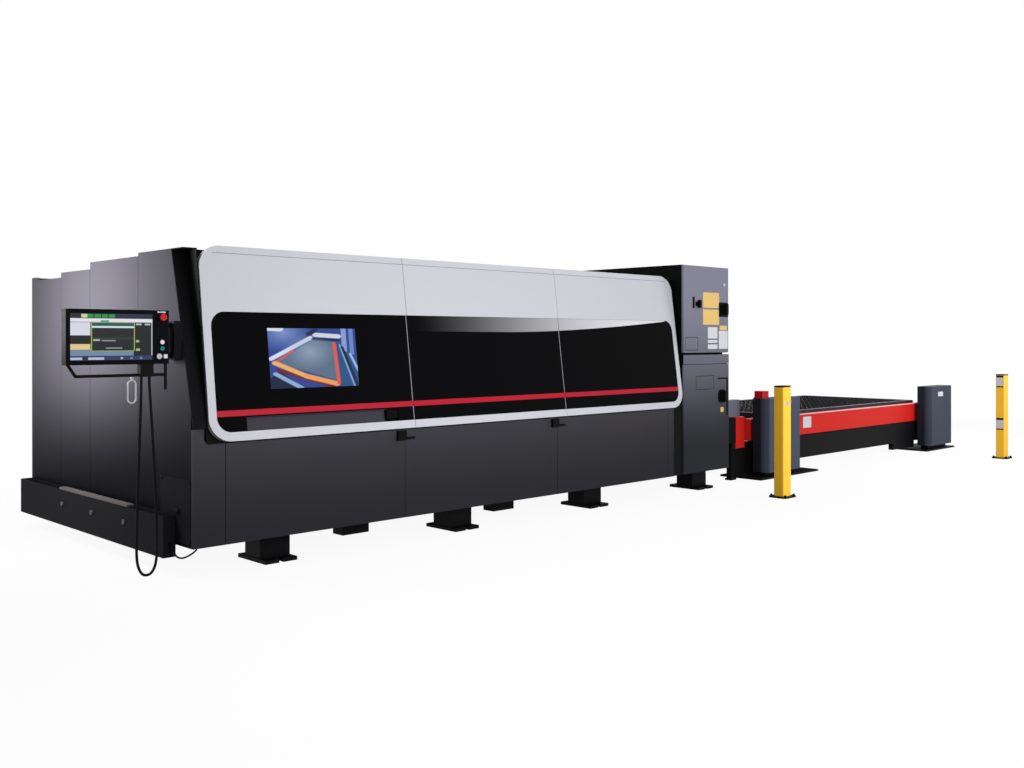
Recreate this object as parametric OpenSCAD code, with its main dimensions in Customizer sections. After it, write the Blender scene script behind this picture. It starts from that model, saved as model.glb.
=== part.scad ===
// Fiber laser cutting machine with a cabin, an electrical cabinet and a shuttle table.
// It is drawn in a machine frame: X runs along the front from the left end, Y to the back from the
// lower front panels, Z up from the floor. place() moves it to the middle of its footprint.
// All sizes are in millimetres and degrees.
$fn = 48;

/* [Cabin] */
// Length of the cabin along the front
cabin_len = 4725; // [4600:5:5200]
// From the rear bed beam to the outside of the rear panels
rear_room = 510; // [400:5:800]
// Height of the panels' lower edge above the floor
skirt_z = 190; // [150:1:230]
// Depth of a folded cover panel
panel_t = 25; // [15:1:40]
// Sheet thickness of a folded cover panel
sheet_t = 3; // [2:0.5:6]
// Depth of a folded roof panel
roof_t = 60; // [50:1:90]
// Width of the cabin frame's square tubes
tube = 60; // [40:1:80]
// Gap between neighbouring panels
seam = 4; // [2:0.5:8]
// Height of the rear panels' top edge
rear_h = 1919; // [1850:1:2000]

/* [Left end] */
// Width of the end's first panel, at the front
end_w1 = 744; // [600:1:900]
// Width of the end's second panel
end_w2 = 764; // [600:1:900]
// Width of the end's third panel
end_w3 = 526; // [400:1:650]
// Height of the first panel's top
end_h1 = 2003; // [1950:1:2010]
// Height of the second panel's top
end_h2 = 1982; // [1940:1:2000]
// Height of the third panel's top
end_h3 = 1934; // [1900:1:1980]
// Height of the fourth panel's top
end_h4 = 1898; // [1850:1:1910]
// Height at which the end's front edge starts to lean back
waist_z = 903; // [860:1:1000]
// How far the end's front edge leans back up to its top
slant = 287; // [250:1:330]

/* [Front cover] */
// From the left end to the cover's left edge
cover_x = 95; // [60:1:130]
// How far the cover reaches past the cabin's right end
cover_over = 115; // [90:1:135]
// Height of the cover's lower edge
cover_z = 821; // [780:1:860]
// How far the lower edge stands out in front of the lower panels
cover_out = 30; // [20:1:45]
// Height of the cover along its face
cover_h = 1217; // [1150:1:1260]
// Lean of the cover's face to the back
cover_lean = 7.56; // [5:0.1:9]
// Thickness of the cover
cover_t = 40; // [34:1:50]
// Radius of the cover's outer corners
cover_r = 150; // [100:1:200]
// Width of the band beside and below the windows
band = 55; // [45:1:80]
// Height of the band above the windows
top_band = 416; // [350:1:480]
// Corner radius of the windows
window_r = 95; // [60:1:120]
// Depth of the windows behind the cover's face
lip_t = 4; // [3:0.5:8]
// Thickness of a window
window_t = 10; // [8:0.5:14]
// How far a window reaches behind the cover's lip
rebate = 18; // [10:1:24]
// Height of the bevelled strip along the top edge
crease_h = 48; // [30:1:70]
// How far the bevel falls back at the top edge
crease_d = 9; // [4:1:14]
// From the windows' lower edge to the stripe
stripe_up = 97; // [80:1:150]
// Height of the stripe
stripe_h = 37; // [20:1:60]
// Thickness of the stripe and the sweep
trim_t = 1; // [0.5:0.1:2]
// Drop of the sweep below the windows' upper edge
sweep_drop = 115; // [80:1:150]
// Length of the sweep's rising part, up to the windows' right end
sweep_run = 2085; // [1700:5:2500]

/* [Door fittings] */
// From the cover's left edge to the screen
screen_x = 441; // [380:1:500]
// From the windows' lower edge to the screen
screen_up = 253; // [200:1:300]
// Width of the screen
screen_w = 687; // [600:1:760]
// Height of the screen
screen_h = 398; // [340:1:440]
// Thickness of the screen
screen_t = 4; // [3:0.5:6]
// From the cover's left edge to the grip recess
grip_x = 258; // [200:1:300]
// From the grip recess's right end to the door's right edge
grip_end = 137; // [100:1:250]
// Height of the grip recess
grip_h = 88; // [60:1:92]
// Width of the grip block
block_w = 96; // [60:1:140]
// Radius of a hinge pin
pin_r = 8; // [6:0.5:10]
// Radius of a hinge knuckle
knuckle_r = 14; // [12:0.5:15]

/* [Lower front] */
// Width of the corner panel
corner_w = 213; // [180:1:260]
// Width of the first lower panel
lower_w1 = 1391; // [1300:1:1450]
// Width of the second lower panel
lower_w2 = 1567; // [1450:1:1650]
// Width of the strip right of the third lower panel
strip_w = 86; // [60:1:110]
// Width of a catch block
catch_w = 72; // [50:1:90]
// Height of a catch block
catch_h = 66; // [50:1:80]

/* [Side trough] */
// Width of the trough
trough_w = 81; // [60:1:110]
// Height of the trough's floor
trough_z = 116; // [90:1:140]
// Height of the trough's top
trough_top = 370; // [320:1:420]
// From the lower front panels to the trough's front end
trough_y = 222; // [180:1:280]
// Sheet thickness of the trough
trough_t = 6; // [4:0.5:10]
// From the trough's front end to the steel strip on its outer wall
strip_at = 500; // [400:1:600]
// Length of the steel strip
strip_len = 1122; // [900:1:1300]

/* [Bed and gantry] */
// Width of a bed beam
beam_w = 120; // [90:1:140]
// Height of the bed beams' top
bed_top = 690; // [640:1:715]
// Height of a linear rail
rail_h = 40; // [25:1:45]
// Width of a linear rail
rail_w = 40; // [30:1:60]
// Height of the gantry beam's underside
gantry_z = 1000; // [980:1:1080]
// Height of the gantry beam
gantry_h = 280; // [220:1:340]
// Width of the gantry beam
gantry_w = 300; // [240:1:340]
// Length of a gantry truck
truck_len = 400; // [350:1:440]
// Height of the cutting nozzle's tip at rest
nozzle_z = 1060; // [1058:1:1080]

/* [Cabinet] */
// From the cover's right edge to the cabinet
cab_gap = 32; // [15:1:60]
// Width of the cabinet
cab_w = 738; // [650:1:800]
// Depth of the cabinet
cab_d = 262; // [220:1:264]
// Height of the cabinet's top
cab_top = 2137; // [2080:1:2200]
// Height of the gap between its lower and upper part
split_z = 1299; // [1250:1:1320]
// Width of the gap between its lower and upper part
split_gap = 16; // [8:1:25]
// Height of the lower door's top edge
low_door_top = 1207; // [1150:1:1230]
// Thickness of a cabinet door
door_t = 22; // [16:1:28]
// Wall thickness of the cabinet
cab_wall = 20; // [12:1:30]
// Height of the portal hood's underside
hood_z = 1000; // [980:1:1100]
// Depth of the portal's rear leg
leg_d = 320; // [200:1:380]

/* [Shuttle table] */
// From the cabinet to the table's left end
table_gap = 785; // [740:1:900]
// From the bridge's end to the table
bridge_gap = 95; // [60:1:140]
// Length of the bridge's red end blocks
bridge_end = 160; // [120:1:200]
// Length of the table's drive housing
drive_len = 600; // [400:10:800]
// Length of the table
table_len = 4540; // [4400:5:4700]
// Front of the pillar covers behind the lower front panels
pillar_y = 60; // [40:1:64]
// Depth of a pillar cover
pillar_d = 170; // [150:1:203]
// Width of a pillar cover
pillar_w = 650; // [550:1:720]
// Height of a pillar cover's top above the floor
pillar_h = 830; // [780:1:900]
// Thickness of the floor plates
plate_t = 20; // [12:1:30]
// Front of the red lift beams, and of the bed beams' inner rails
lane_y = 270; // [268:1:300]
// Width of a lift beam
lift_w = 60; // [50:1:80]
// Height of the lift beams' underside
lift_z = 380; // [360:1:400]
// Height of a lift beam
lift_h = 230; // [200:1:250]
// Height of the ledge that carries the pallet
ledge_z = 540; // [530:1:560]
// Lift from the table's lower level to the machine's pass line
lift_up = 275; // [260:1:280]
// Length of the pallet
pallet_len = 3600; // [3400:5:3800]
// Width of the pallet
pallet_w = 1600; // [1500:5:1700]
// Height of the pallet's rim
pallet_h = 100; // [80:1:104]
// Width of the pallet's side rails
pallet_rail = 60; // [40:1:80]
// Distance from slat to slat
slat_pitch = 100; // [80:1:140]
// Thickness of a slat
slat_t = 4; // [3:0.5:6]
// Height of a slat with its teeth
slat_h = 82; // [70:1:84]
// Distance from tooth to tooth
tooth_pitch = 60; // [50:1:80]
// Height of a tooth
tooth_h = 40; // [25:1:50]

/* [Safety posts] */
// Height of a post with its cap
post_h = 1020; // [950:1:1150]
// Width of a post
post_w = 136; // [110:1:150]
// Depth of a post
post_d = 100; // [80:1:115]
// Thickness of a post's cap
cap_t = 14; // [8:1:20]
// Width of a post's base plate
base_w = 210; // [190:1:240]
// Depth of a post's base plate
base_d = 180; // [160:1:200]
// Thickness of a post's base plate
base_t = 14; // [8:1:20]
// Diameter of an anchor bolt hole
anchor_d = 14; // [10:0.5:18]
// From the post's middle to its anchor bolts, both ways
anchor_off = 72; // [71:0.5:74]
// First post, from the cabin's left end
post1_x = 5444; // [5380:1:5470]
// First post, in front of the lower front panels
post1_y = 690; // [650:1:760]
// Second post, from the cabin's left end
post2_x = 10100; // [9900:5:10300]
// Second post, in front of the lower front panels
post2_y = 905; // [850:1:1000]

/* [Operator panel] */
// From the left end to the panel's right edge
hmi_gap = 101; // [95:1:130]
// Width of the panel
hmi_w = 604; // [560:1:650]
// Height of the panel
hmi_h = 317; // [290:1:340]
// Depth of the panel
hmi_t = 60; // [50:1:66]
// Height of the panel's lower edge
hmi_z = 1298; // [1280:1:1304]
// Front of the panel behind the lower front panels
hmi_y = 105; // [95:1:108]
// Width of the button strip beside the screen
keys_w = 101; // [90:1:120]
// Radius of the handle bar
bar_r = 9; // [7:0.5:12]
// Drop of the handle bar below the panel
bar_drop = 64; // [50:1:80]
// Diameter of the hanging cable
cable_d = 16; // [12:1:16]
// Diameter of the small link cable
link_d = 11; // [8:1:12]

/* [Feet] */
// Width of a foot's base plate
foot_w = 236; // [200:1:260]
// Depth of a foot's base plate
foot_d = 345; // [300:1:380]
// Thickness of a foot's base plate
foot_t = 25; // [15:1:35]
// Left edge of the first foot
foot_x1 = 548; // [450:1:650]
// Left edge of the second foot
foot_x2 = 2162; // [2050:1:2250]
// Left edge of the third foot
foot_x3 = 3684; // [3550:1:3800]
// Width of the hanging blocks
hang_w = 222; // [180:1:260]
// Height of the hanging blocks' underside
hang_z = 83; // [60:1:110]

/* [Hidden] */

// Running clearance between pieces that move against each other
clear = 0.5;
// Overlap that joins shapes within one piece, and overrun of a cut past a face
eps = 1;

// Colours
charcoal = [0.24, 0.23, 0.25];
black = [0.05, 0.05, 0.06];
silver = [0.82, 0.82, 0.84];
red = [0.94, 0.2, 0.16];
yellow = [0.96, 0.73, 0.2];
slate = [0.26, 0.28, 0.33];
steel = [0.6, 0.61, 0.64];

// Lane of the pallet: the front and rear beams stand on both sides of it
lane_in = lane_y + lift_w;
side_gap = 30;
pallet_y0 = lane_in + side_gap;
pallet_y1 = pallet_y0 + pallet_w;
lane_out = pallet_y1 + side_gap;
lane_mid = (pallet_y0 + pallet_y1) / 2;
// Depth of the cabin from the lower front panels to the rear panels
cabin_depth = lane_out + beam_w + rear_room;

// Left end: widths, heights and the place of each panel
end_w = [end_w1, end_w2, end_w3, cabin_depth - end_w1 - end_w2 - end_w3];
end_h = [end_h1, end_h2, end_h3, end_h4];
function end_y(i) = i == 0 ? 0 : end_y(i - 1) + end_w[i - 1];
// The end's front edge leans back from the waist to the top of the first panel
function slant_y(z) = z <= waist_z ? 0 : slant * (z - waist_z) / (end_h1 - waist_z);
function slant_z(y) = waist_z + y * (end_h1 - waist_z) / slant;
// The end panels start behind the corner panel
end_front = panel_t + seam / 2;
frame_x0 = panel_t + tube;
frame_x1 = cabin_len - panel_t - tube;
frame_back = cabin_depth - panel_t - tube;

// Front cover: v runs up its face, d runs into it
cover_len = cabin_len + cover_over - cover_x;
function front_y(v, d) = -cover_out + v * sin(cover_lean) + d * cos(cover_lean);
function front_z(v, d) = cover_z + v * cos(cover_lean) - d * sin(cover_lean);
function front_v(z, d) = (z - cover_z + d * sin(cover_lean)) / cos(cover_lean);
function cover_y_at(z, d) = -cover_out + (z - cover_z) * tan(cover_lean) + d / cos(cover_lean);
sections = 3;
function section_x(i) = cover_x + i * cover_len / sections;
inset_x0 = cover_x + band;
inset_x1 = cover_x + cover_len - band;
inset_v0 = band;
inset_v1 = cover_h - top_band;
// The lower panels end below the cover
lower_top = cover_z - 12;
// Door hinge, just behind the cover's upper edge
hinge_v = cover_h - 2 * knuckle_r - 2;
hinge_d = cover_t + knuckle_r + 1;
hinge_y = front_y(hinge_v, hinge_d);
hinge_z = front_z(hinge_v, hinge_d);
hinge_off = 260;
hinge_lug = 40;
hinge_ear = 20;
door_depth = cover_t - clear;
header_d = 140;
roof_y0 = max(hinge_y + 3 * knuckle_r, slant + seam / 2);
header_top = end_h1 - roof_t - clear;
// The ribs reach up to the header, and the header laps their back edge
rib_back = cover_t + tube;
rib_top = max(hinge_v - knuckle_r - 4, front_v(header_top, rib_back));
header_lap = 10;
header_y = min(hinge_y + knuckle_r + 4, front_y(front_v(header_top - tube, rib_back), rib_back) - header_lap);
lower_x = [0, corner_w, corner_w + lower_w1, corner_w + lower_w1 + lower_w2, cabin_len - strip_w, cabin_len];
screen_v = inset_v0 + screen_up;
grip_w = cover_len / sections - grip_x - grip_end;

// Ledge under the pallet's side rails
ledge_w = side_gap + 36;
ledge_t = 20;
pass_z = ledge_z + lift_up;
web_t = 6;

// Bed beams and rails
bed_x0 = frame_x0;
bed_x1 = frame_x1;
rail_top = bed_top + rail_h;
rail_mid = lane_in - beam_w / 2;
rail_mid2 = lane_out + beam_w / 2;
truck_w = 90;
gantry_x1 = bed_x1 - 240;
gantry_x0 = gantry_x1 - gantry_w;
gantry_y0 = rail_mid - truck_w / 2;
gantry_y1 = rail_mid2 + truck_w / 2;
carriage_w = 260;
carriage_d = 200;
head_w = 120;
head_d = 140;
carriage_x = gantry_x0 - clear;
head_x = carriage_x - carriage_d - clear;

// Cabinet
cab_x = cabin_len + cover_over + cab_gap;
cab_x1 = cab_x + cab_w;
upper_z = split_z + split_gap;

// Shuttle table
table_x = cab_x1 + table_gap;
table_x1 = table_x + table_len;
pillar2_x = table_x1 - pillar_w;
lift_x0 = table_x - 15;
lift_x1 = table_x1 - 35;
pallet_x0 = (lift_x0 + lift_x1 - pallet_len) / 2;
pallet_z = ledge_z + 0.3;
slat_y0 = pallet_y0 + pallet_rail;
slat_y1 = pallet_y1 - pallet_rail;
slat_z = pallet_z + 15;
cross_w = 60;
base_z = 120;
base_h = 250;
base_y = lane_y + 5;
base_y2 = lane_out - 5;
stop_z = lift_z - 0.3;
bridge_x0 = bed_x1;
bridge_x1 = table_x - bridge_gap;
bridge_mid = bridge_x1 - bridge_end;
bridge_top = lift_z + lift_h + 30;
plinth = 40;
plate_over = 55;
plate_x = table_x - 145;

// Operator panel
hmi_x1 = -hmi_gap;
hmi_x0 = hmi_x1 - hmi_w;
pivot_r = 12;
pivot_x = hmi_x1 + pivot_r + 6;
pivot_y = hmi_y + hmi_t + 38;
bracket_z0 = hmi_z + 22;
bracket_z1 = bracket_z0 + 234;
ear_t = 25;
bar_y = hmi_y + 20;
bar_z = hmi_z - bar_drop;
bar_x1 = hmi_x1 - 3 - bar_r;
block_x0 = hmi_x1 - 174;
block_x1 = hmi_x1 - 95;
block_z0 = 1224;
keys_x = hmi_x1 - 45;
estop_z = hmi_z + 276;
white_z = hmi_z + 129;
teal_z = hmi_z + 91;
key_z = hmi_z + 45;
key_x = hmi_x1 - 62;
stem_r = 8;
stem_len = 12;
bore_len = 22;
screen_edge = 24;

// Footprint, for the origin at its middle
x_min = hmi_x0;
x_max = table_x1 + plate_over;
y_min = -post2_y - base_d / 2;
y_max = cabin_depth;
mid_x = (x_min + x_max) / 2;
mid_y = (y_min + y_max) / 2;

// Route of the cable that hangs from the operator panel
cable_path = [[-262, 125, 1224], [-262, 125, 1180], [-264, 124, 1100], [-269, 122, 980], [-275, 118, 860],
  [-281, 114, 740], [-287, 111, 620], [-292, 108, 500], [-296, 106, 380], [-299, 105, 270], [-299, 105, 190],
  [-293, 105, 130], [-278, 105, 88], [-259, 105, 66], [-237, 105, 60], [-215, 105, 66], [-196, 105, 88],
  [-182, 105, 128], [-176, 105, 190], [-176, 105, 270], [-178, 105, 380], [-182, 106, 500], [-187, 108, 620],
  [-192, 111, 740], [-197, 114, 860], [-203, 118, 980],
  [-209, 122, 1100], [-213, 125, 1180], [-213, 125, 1224]];
// Route of the small cable from the trough's front end to the cabin frame's underside
link_path = [[-40, 221.5, 200], [-40, 205, 200], [-38, 185, 172], [-34, 160, 142], [-28, 130, 128],
  [-20, 100, 128], [-8, 75, 136], [10, 55, 150], [30, 47, 164], [45, 45, 177], [45, 45, 189.5]];

// Box between two corners
module blk(lo, hi) {
  translate(lo)
    cube(hi - lo);
}

function above(v) = [for (c = v) max(c, 0)];

// Folded sheet pan: a box with a pocket that is open on one side
module pan(lo, hi, open) {
  difference() {
    blk(lo, hi);
    blk(lo + sheet_t * [1, 1, 1] - (sheet_t + eps) * above(-open),
        hi - sheet_t * [1, 1, 1] + (sheet_t + eps) * above(open));
  }
}

// Outline in the Y-Z plane, extruded along X from x0 to x1
module along_x(x0, x1) {
  translate([x0, 0, 0])
    rotate([90, 0, 90])
      linear_extrude(x1 - x0)
        children();
}

// Cylinder along X or Y, centred on a point
module rod_x(x0, x1, y, z, r) {
  translate([x0, y, z])
    rotate([0, 90, 0])
      cylinder(r = r, h = x1 - x0);
}

module rod_y(x, y0, y1, z, r) {
  translate([x, y0, z])
    rotate([-90, 0, 0])
      cylinder(r = r, h = y1 - y0);
}

module rounded(x0, y0, w, h, r) {
  union() {
    translate([x0 + r, y0])
      square([w - 2 * r, h]);
    translate([x0, y0 + r])
      square([w, h - 2 * r]);
    for (x = [x0 + r, x0 + w - r])
      for (y = [y0 + r, y0 + h - r])
        translate([x, y])
          circle(r = r);
  }
}

// Tube along a route: rings of points, with ref never along the route
function unit(v) = v / norm(v);
function tangent(p, i) = unit(p[min(i + 1, len(p) - 1)] - p[max(i - 1, 0)]);
function ring(p, i, r, n, ref) =
  let (t = tangent(p, i), a = unit(cross(t, ref)), b = cross(t, a))
    [for (k = [0 : n - 1]) p[i] + r * (a * cos(360 * k / n) + b * sin(360 * k / n))];

module tube_along(p, d, ref) {
  n = 10;
  m = len(p);
  points = [for (i = [0 : m - 1]) each ring(p, i, d / 2, n, ref)];
  sides = [for (i = [0 : m - 2]) for (k = [0 : n - 1])
    [i * n + k, i * n + (k + 1) % n, (i + 1) * n + (k + 1) % n, (i + 1) * n + k]];
  start = [for (k = [0 : n - 1]) n - 1 - k];
  end = [for (k = [0 : n - 1]) (m - 1) * n + k];
  polyhedron(points, concat(sides, [start, end]));
}

module place() {
  translate([-mid_x, -mid_y, 0])
    children();
}

// Bed: two box beams with cross members between them
module bed_frame() {
  color(charcoal)
    place() {
      for (y = [lane_in - beam_w, lane_out])
        pan_beam(y);
      for (x = [foot_x1, foot_x2, foot_x3])
        blk([x, lane_in - eps, skirt_z], [x + cross_w, lane_out + eps, skirt_z + 2 * cross_w]);
    }
}

// One bed beam with weight-saving windows through its web
module pan_beam(y) {
  n = 6;
  pitch = (bed_x1 - bed_x0) / n;
  hole_r = beam_w * 0.75;
  difference() {
    blk([bed_x0, y, skirt_z], [bed_x1, y + beam_w, bed_top]);
    for (i = [0 : n - 1])
      rod_y(bed_x0 + (i + 0.5) * pitch, y - eps, y + beam_w + eps, (skirt_z + bed_top) / 2 + tube, hole_r);
  }
}

// Feet with slotted base plates, and the hanging blocks between them
module machine_feet() {
  color(black)
    place() {
      for (x = [foot_x1, foot_x2, foot_x3])
        for (y = [rail_mid, rail_mid2])
          foot(x, y - foot_d / 2, y > lane_mid);
      foot(cab_x + cab_w / 2, cab_d / 2 - 40, false);
      foot(cab_x + cab_w / 2, lane_out + beam_w, true);
      for (x = [foot_x1 + 0.418 * (foot_x2 - foot_x1), foot_x2 + 0.326 * (foot_x3 - foot_x2)])
        blk([x, lane_in - beam_w, hang_z], [x + hang_w, lane_in, skirt_z]);
    }
}

// A block on a base plate with an open slot in its outer edge
module foot(x, y, rear) {
  slot_r = 16;
  slot_y = rear ? y + foot_d - 45 : y + 45;
  edge_y = rear ? y + foot_d + eps : y - eps;
  difference() {
    blk([x, y, 0], [x + foot_w, y + foot_d, foot_t]);
    translate([x + foot_w / 2, slot_y, -eps])
      cylinder(r = slot_r, h = foot_t + 2 * eps);
    blk([x + foot_w / 2 - slot_r, min(slot_y, edge_y), -eps],
        [x + foot_w / 2 + slot_r, max(slot_y, edge_y), foot_t + eps]);
  }
  blk([x + 6, y + 80, foot_t - eps], [x + foot_w - 6, y + foot_d - 80, skirt_z]);
}

// Side frame of the cabin, for the left end or, with a portal, for the right end
module end_frame(x0, portal) {
  z_low = portal ? hood_z : skirt_z;
  along_x(x0, x0 + tube) {
    polygon([[panel_t, skirt_z], [panel_t, waist_z], [panel_t + slant, end_h1 - roof_t],
      [panel_t + slant + tube, end_h1 - roof_t], [panel_t + tube, waist_z], [panel_t + tube, skirt_z]]);
    translate([panel_t, skirt_z])
      square([cabin_depth - 2 * panel_t, tube]);
    translate([frame_back, skirt_z])
      square([tube, end_h4 - roof_t - skirt_z]);
    for (i = [1 : 3])
      translate([end_y(i) - tube / 2, z_low])
        square([tube, end_h[i] - roof_t - z_low]);
    for (i = [0 : 3]) {
      y0 = i == 0 ? panel_t + slant : end_y(i) - tube / 2;
      y1 = i == 3 ? cabin_depth - panel_t : end_y(i + 1) + tube / 2;
      translate([y0, end_h[i] - roof_t - tube])
        square([y1 - y0 - (i < 3 ? tube : 0), tube]);
    }
    if (portal)
      translate([panel_t + tube / 2, hood_z])
        square([frame_back - panel_t, tube]);
  }
}

module left_frame() {
  color(charcoal)
    place()
      end_frame(panel_t, false);
}

module right_frame() {
  color(charcoal)
    place()
      end_frame(frame_x1, true);
}

module rear_frame() {
  color(charcoal)
    place() {
      posts = 4;
      pitch = (frame_x1 - frame_x0) / posts;
      blk([frame_x0, frame_back, skirt_z], [frame_x1, frame_back + tube, skirt_z + tube]);
      blk([frame_x0, frame_back, end_h4 - roof_t - tube], [frame_x1, frame_back + tube, end_h4 - roof_t]);
      for (i = [1 : posts - 1])
        translate([frame_x0 + i * pitch - tube / 2, frame_back, skirt_z])
          cube([tube, tube, end_h4 - roof_t - skirt_z]);
    }
}

// Front frame: bottom and waist rails, posts, leaning ribs behind the covers and the hinge header
module front_frame() {
  color(black)
    place() {
      for (z = [skirt_z, lower_top - tube])
        blk([frame_x0, panel_t, z], [frame_x1, panel_t + tube, z + tube]);
      for (i = [1 : 3])
        blk([lower_x[i] - tube / 2, panel_t, skirt_z], [lower_x[i] + tube / 2, panel_t + tube, lower_top]);
      rib(cover_x - 2, cover_x + cover_r);
      for (i = [1 : sections - 1])
        rib(section_x(i) - tube, section_x(i) + tube);
      rib(frame_x1 - tube, frame_x1 - 2);
      blk([cover_x + 3, header_y, header_top - tube], [frame_x1, header_y + header_d, header_top]);
      for (x = [section_x(0) + hinge_off, section_x(1) - hinge_off])
        hinge_ears(x);
    }
}

// Leaning rib, cut clear of the lower panels' upper fold
module rib(x0, x1) {
  difference() {
    on_front()
      blk([x0, -tube / 3, -rib_back], [x1, rib_top, -cover_t]);
    blk([x0 - eps, -tube, cover_z - 2 * tube], [x1 + eps, panel_t + clear, lower_top + clear]);
  }
}

// Two ears with a pin between them, on the header's front edge
module hinge_ears(x) {
  reach = hinge_lug / 2 + 1 + hinge_ear;
  rod_x(x - reach, x + reach, hinge_y, hinge_z, pin_r);
  for (x0 = [x - reach, x + reach - hinge_ear]) {
    rod_x(x0, x0 + hinge_ear, hinge_y, hinge_z, knuckle_r);
    blk([x0, hinge_y - 3, min(header_top - tube / 2, hinge_z)],
      [x0 + hinge_ear, hinge_y + 2.5 * knuckle_r, max(header_top - tube / 2, hinge_z + 3)]);
  }
}

// Outline of an end panel in the Y-Z plane
module end_outline(i, z0, in) {
  y0 = (i == 0 ? end_front : end_y(i) + seam / 2) + in;
  y1 = (i == 3 ? cabin_depth - panel_t : end_y(i + 1)) - seam / 2 - in;
  if (i == 0)
    polygon([[y0, z0 + in], [y0, max(slant_z(y0 - in) - in, z0 + in)], [slant + 1.5 * in, end_h[i] - in],
      [y1, end_h[i] - in], [y1, z0 + in]]);
  else
    translate([y0, z0 + in])
      square([y1 - y0, end_h[i] - z0 - 2 * in]);
  if (i == 3)
    translate([y1 - 70 + 2 * in, z0 + in])
      square([70 - 2 * in, rear_h - z0 - 2 * in]);
}

// Folded end panel from x0 to x1, open to the inside
module end_panel(i, z0, x0, x1, inside) {
  difference() {
    along_x(x0, x1)
      end_outline(i, z0, 0);
    along_x(inside > 0 ? x0 + sheet_t : x0 - eps, inside > 0 ? x1 + eps : x1 - sheet_t)
      end_outline(i, z0, sheet_t);
  }
}

module left_panels() {
  color(charcoal)
    place()
      for (i = [0 : 3])
        end_panel(i, skirt_z, 0, panel_t, 1);
}

// Low cover plate on the left end, with a folded grip
module access_cover() {
  color(charcoal)
    place() {
      y0 = end_front + 2;
      z0 = skirt_z + 19;
      difference() {
        blk([-sheet_t, y0, z0], [0, y0 + 392, z0 + 389]);
        blk([-2 * sheet_t, trough_y - clear, 0], [eps, cabin_depth, trough_top + clear]);
      }
      blk([-4 * sheet_t, y0 + 140, z0 + 185], [eps - sheet_t, y0 + 205, z0 + 205]);
    }
}

module right_panels() {
  color(charcoal)
    place() {
      x0 = cabin_len - panel_t;
      for (i = [0 : 3])
        end_panel(i, hood_z, x0, cabin_len, -1);
      pan([x0, end_front, skirt_z], [cabin_len, lane_y - seam, hood_z - seam], [-1, 0, 0]);
      pan([x0, lane_out + lift_w + seam, skirt_z],
        [cabin_len, cabin_depth - panel_t - seam / 2, hood_z - seam],
        [-1, 0, 0]);
    }
}

module rear_panels() {
  color(charcoal)
    place() {
      count = 4;
      w = cabin_len / count;
      for (i = [0 : count - 1])
        pan([i * w + seam / 2, cabin_depth - panel_t, skirt_z], [(i + 1) * w - seam / 2, cabin_depth, rear_h],
          [0, -1, 0]);
    }
}

module roof_panels() {
  color(charcoal)
    place()
      for (i = [0 : 3])
        pan([panel_t + seam / 2, i == 0 ? roof_y0 : end_y(i) + seam / 2, end_h[i] - roof_t],
          [cabin_len - panel_t - seam / 2,
           (i == 3 ? cabin_depth - panel_t : end_y(i + 1)) - seam / 2, end_h[i]],
          [0, 0, -1]);
}

// Corner panel with a raised corner, three lower panels and a strip
module lower_panels() {
  color(charcoal)
    place() {
      translate([0, panel_t, 0])
        rotate([90, 0, 0])
          linear_extrude(panel_t)
            polygon([[0, skirt_z], [corner_w - seam / 2, skirt_z], [corner_w - seam / 2, lower_top],
              [cover_x - 4, lower_top], [panel_t, waist_z], [0, waist_z]]);
      for (i = [1 : 4])
        pan([lower_x[i] + seam / 2, 0, skirt_z],
          [i == 4 ? cabin_len : lower_x[i + 1] - seam / 2, panel_t, lower_top], [0, 1, 0]);
    }
}

// Catch blocks with a thin bar, under the cover at two panel seams
module cover_catches() {
  color(black)
    place()
      for (i = [2, 3]) {
        z1 = lower_top - 6;
        blk([lower_x[i] - catch_w - 4, -26, z1 - catch_h], [lower_x[i] - 4, 0, z1]);
        blk([lower_x[i] - 5, -20, z1 - catch_h + 5], [lower_x[i] + 76, 0, z1 - catch_h + 20]);
      }
}

// Places an outline on the cover's face: X along the front, Y up the face, Z out of it
module on_front() {
  translate([0, -cover_out, cover_z])
    rotate([90 - cover_lean, 0, 0])
      children();
}

module cover_outline() {
  rounded(cover_x, 0, cover_len, cover_h, cover_r);
}

module inset_outline(grow) {
  rounded(inset_x0 - grow, inset_v0 - grow, inset_x1 - inset_x0 + 2 * grow, inset_v1 - inset_v0 + 2 * grow,
    window_r + grow);
}

module section_slot(i) {
  translate([section_x(i) + seam / 2, -eps])
    square([cover_len / sections - seam, cover_h + 2 * eps]);
}

// One section of the silver cover: a lip round the windows, a hollow top band and a bevelled top edge
module cover_section(i, t) {
  pocket_v0 = inset_v1 + 2 * rebate;
  pocket_v1 = cover_h - 5 * knuckle_r;
  margin = 40;
  on_front()
    difference() {
      translate([0, 0, -t])
        linear_extrude(t)
          difference() {
            intersection() {
              cover_outline();
              section_slot(i);
            }
            inset_outline(0);
          }
      translate([0, 0, -t - eps])
        linear_extrude(t + eps - lip_t)
          inset_outline(rebate);
      blk([section_x(i) + margin + cover_r * 0.3, pocket_v0, -t - eps],
        [section_x(i + 1) - margin - cover_r * 0.3, pocket_v1, -2 * lip_t]);
      translate([cover_x - eps, cover_h - crease_h, 0])
        rotate([-atan(crease_d / crease_h), 0, 0])
          cube([cover_len + 2 * eps, 2 * crease_h, cover_t]);
    }
}

module fixed_covers() {
  color(silver)
    place()
      for (i = [1, 2])
        cover_section(i, cover_t);
}

// Window plate of one section, behind the cover's lip
module window_plate(i) {
  translate([0, 0, -lip_t - window_t])
    linear_extrude(window_t)
      intersection() {
        inset_outline(rebate - eps);
        section_slot(i);
      }
}

module fixed_windows() {
  color(black)
    place()
      on_front() {
        window_plate(1);
        window_plate(2);
      }
}

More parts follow.
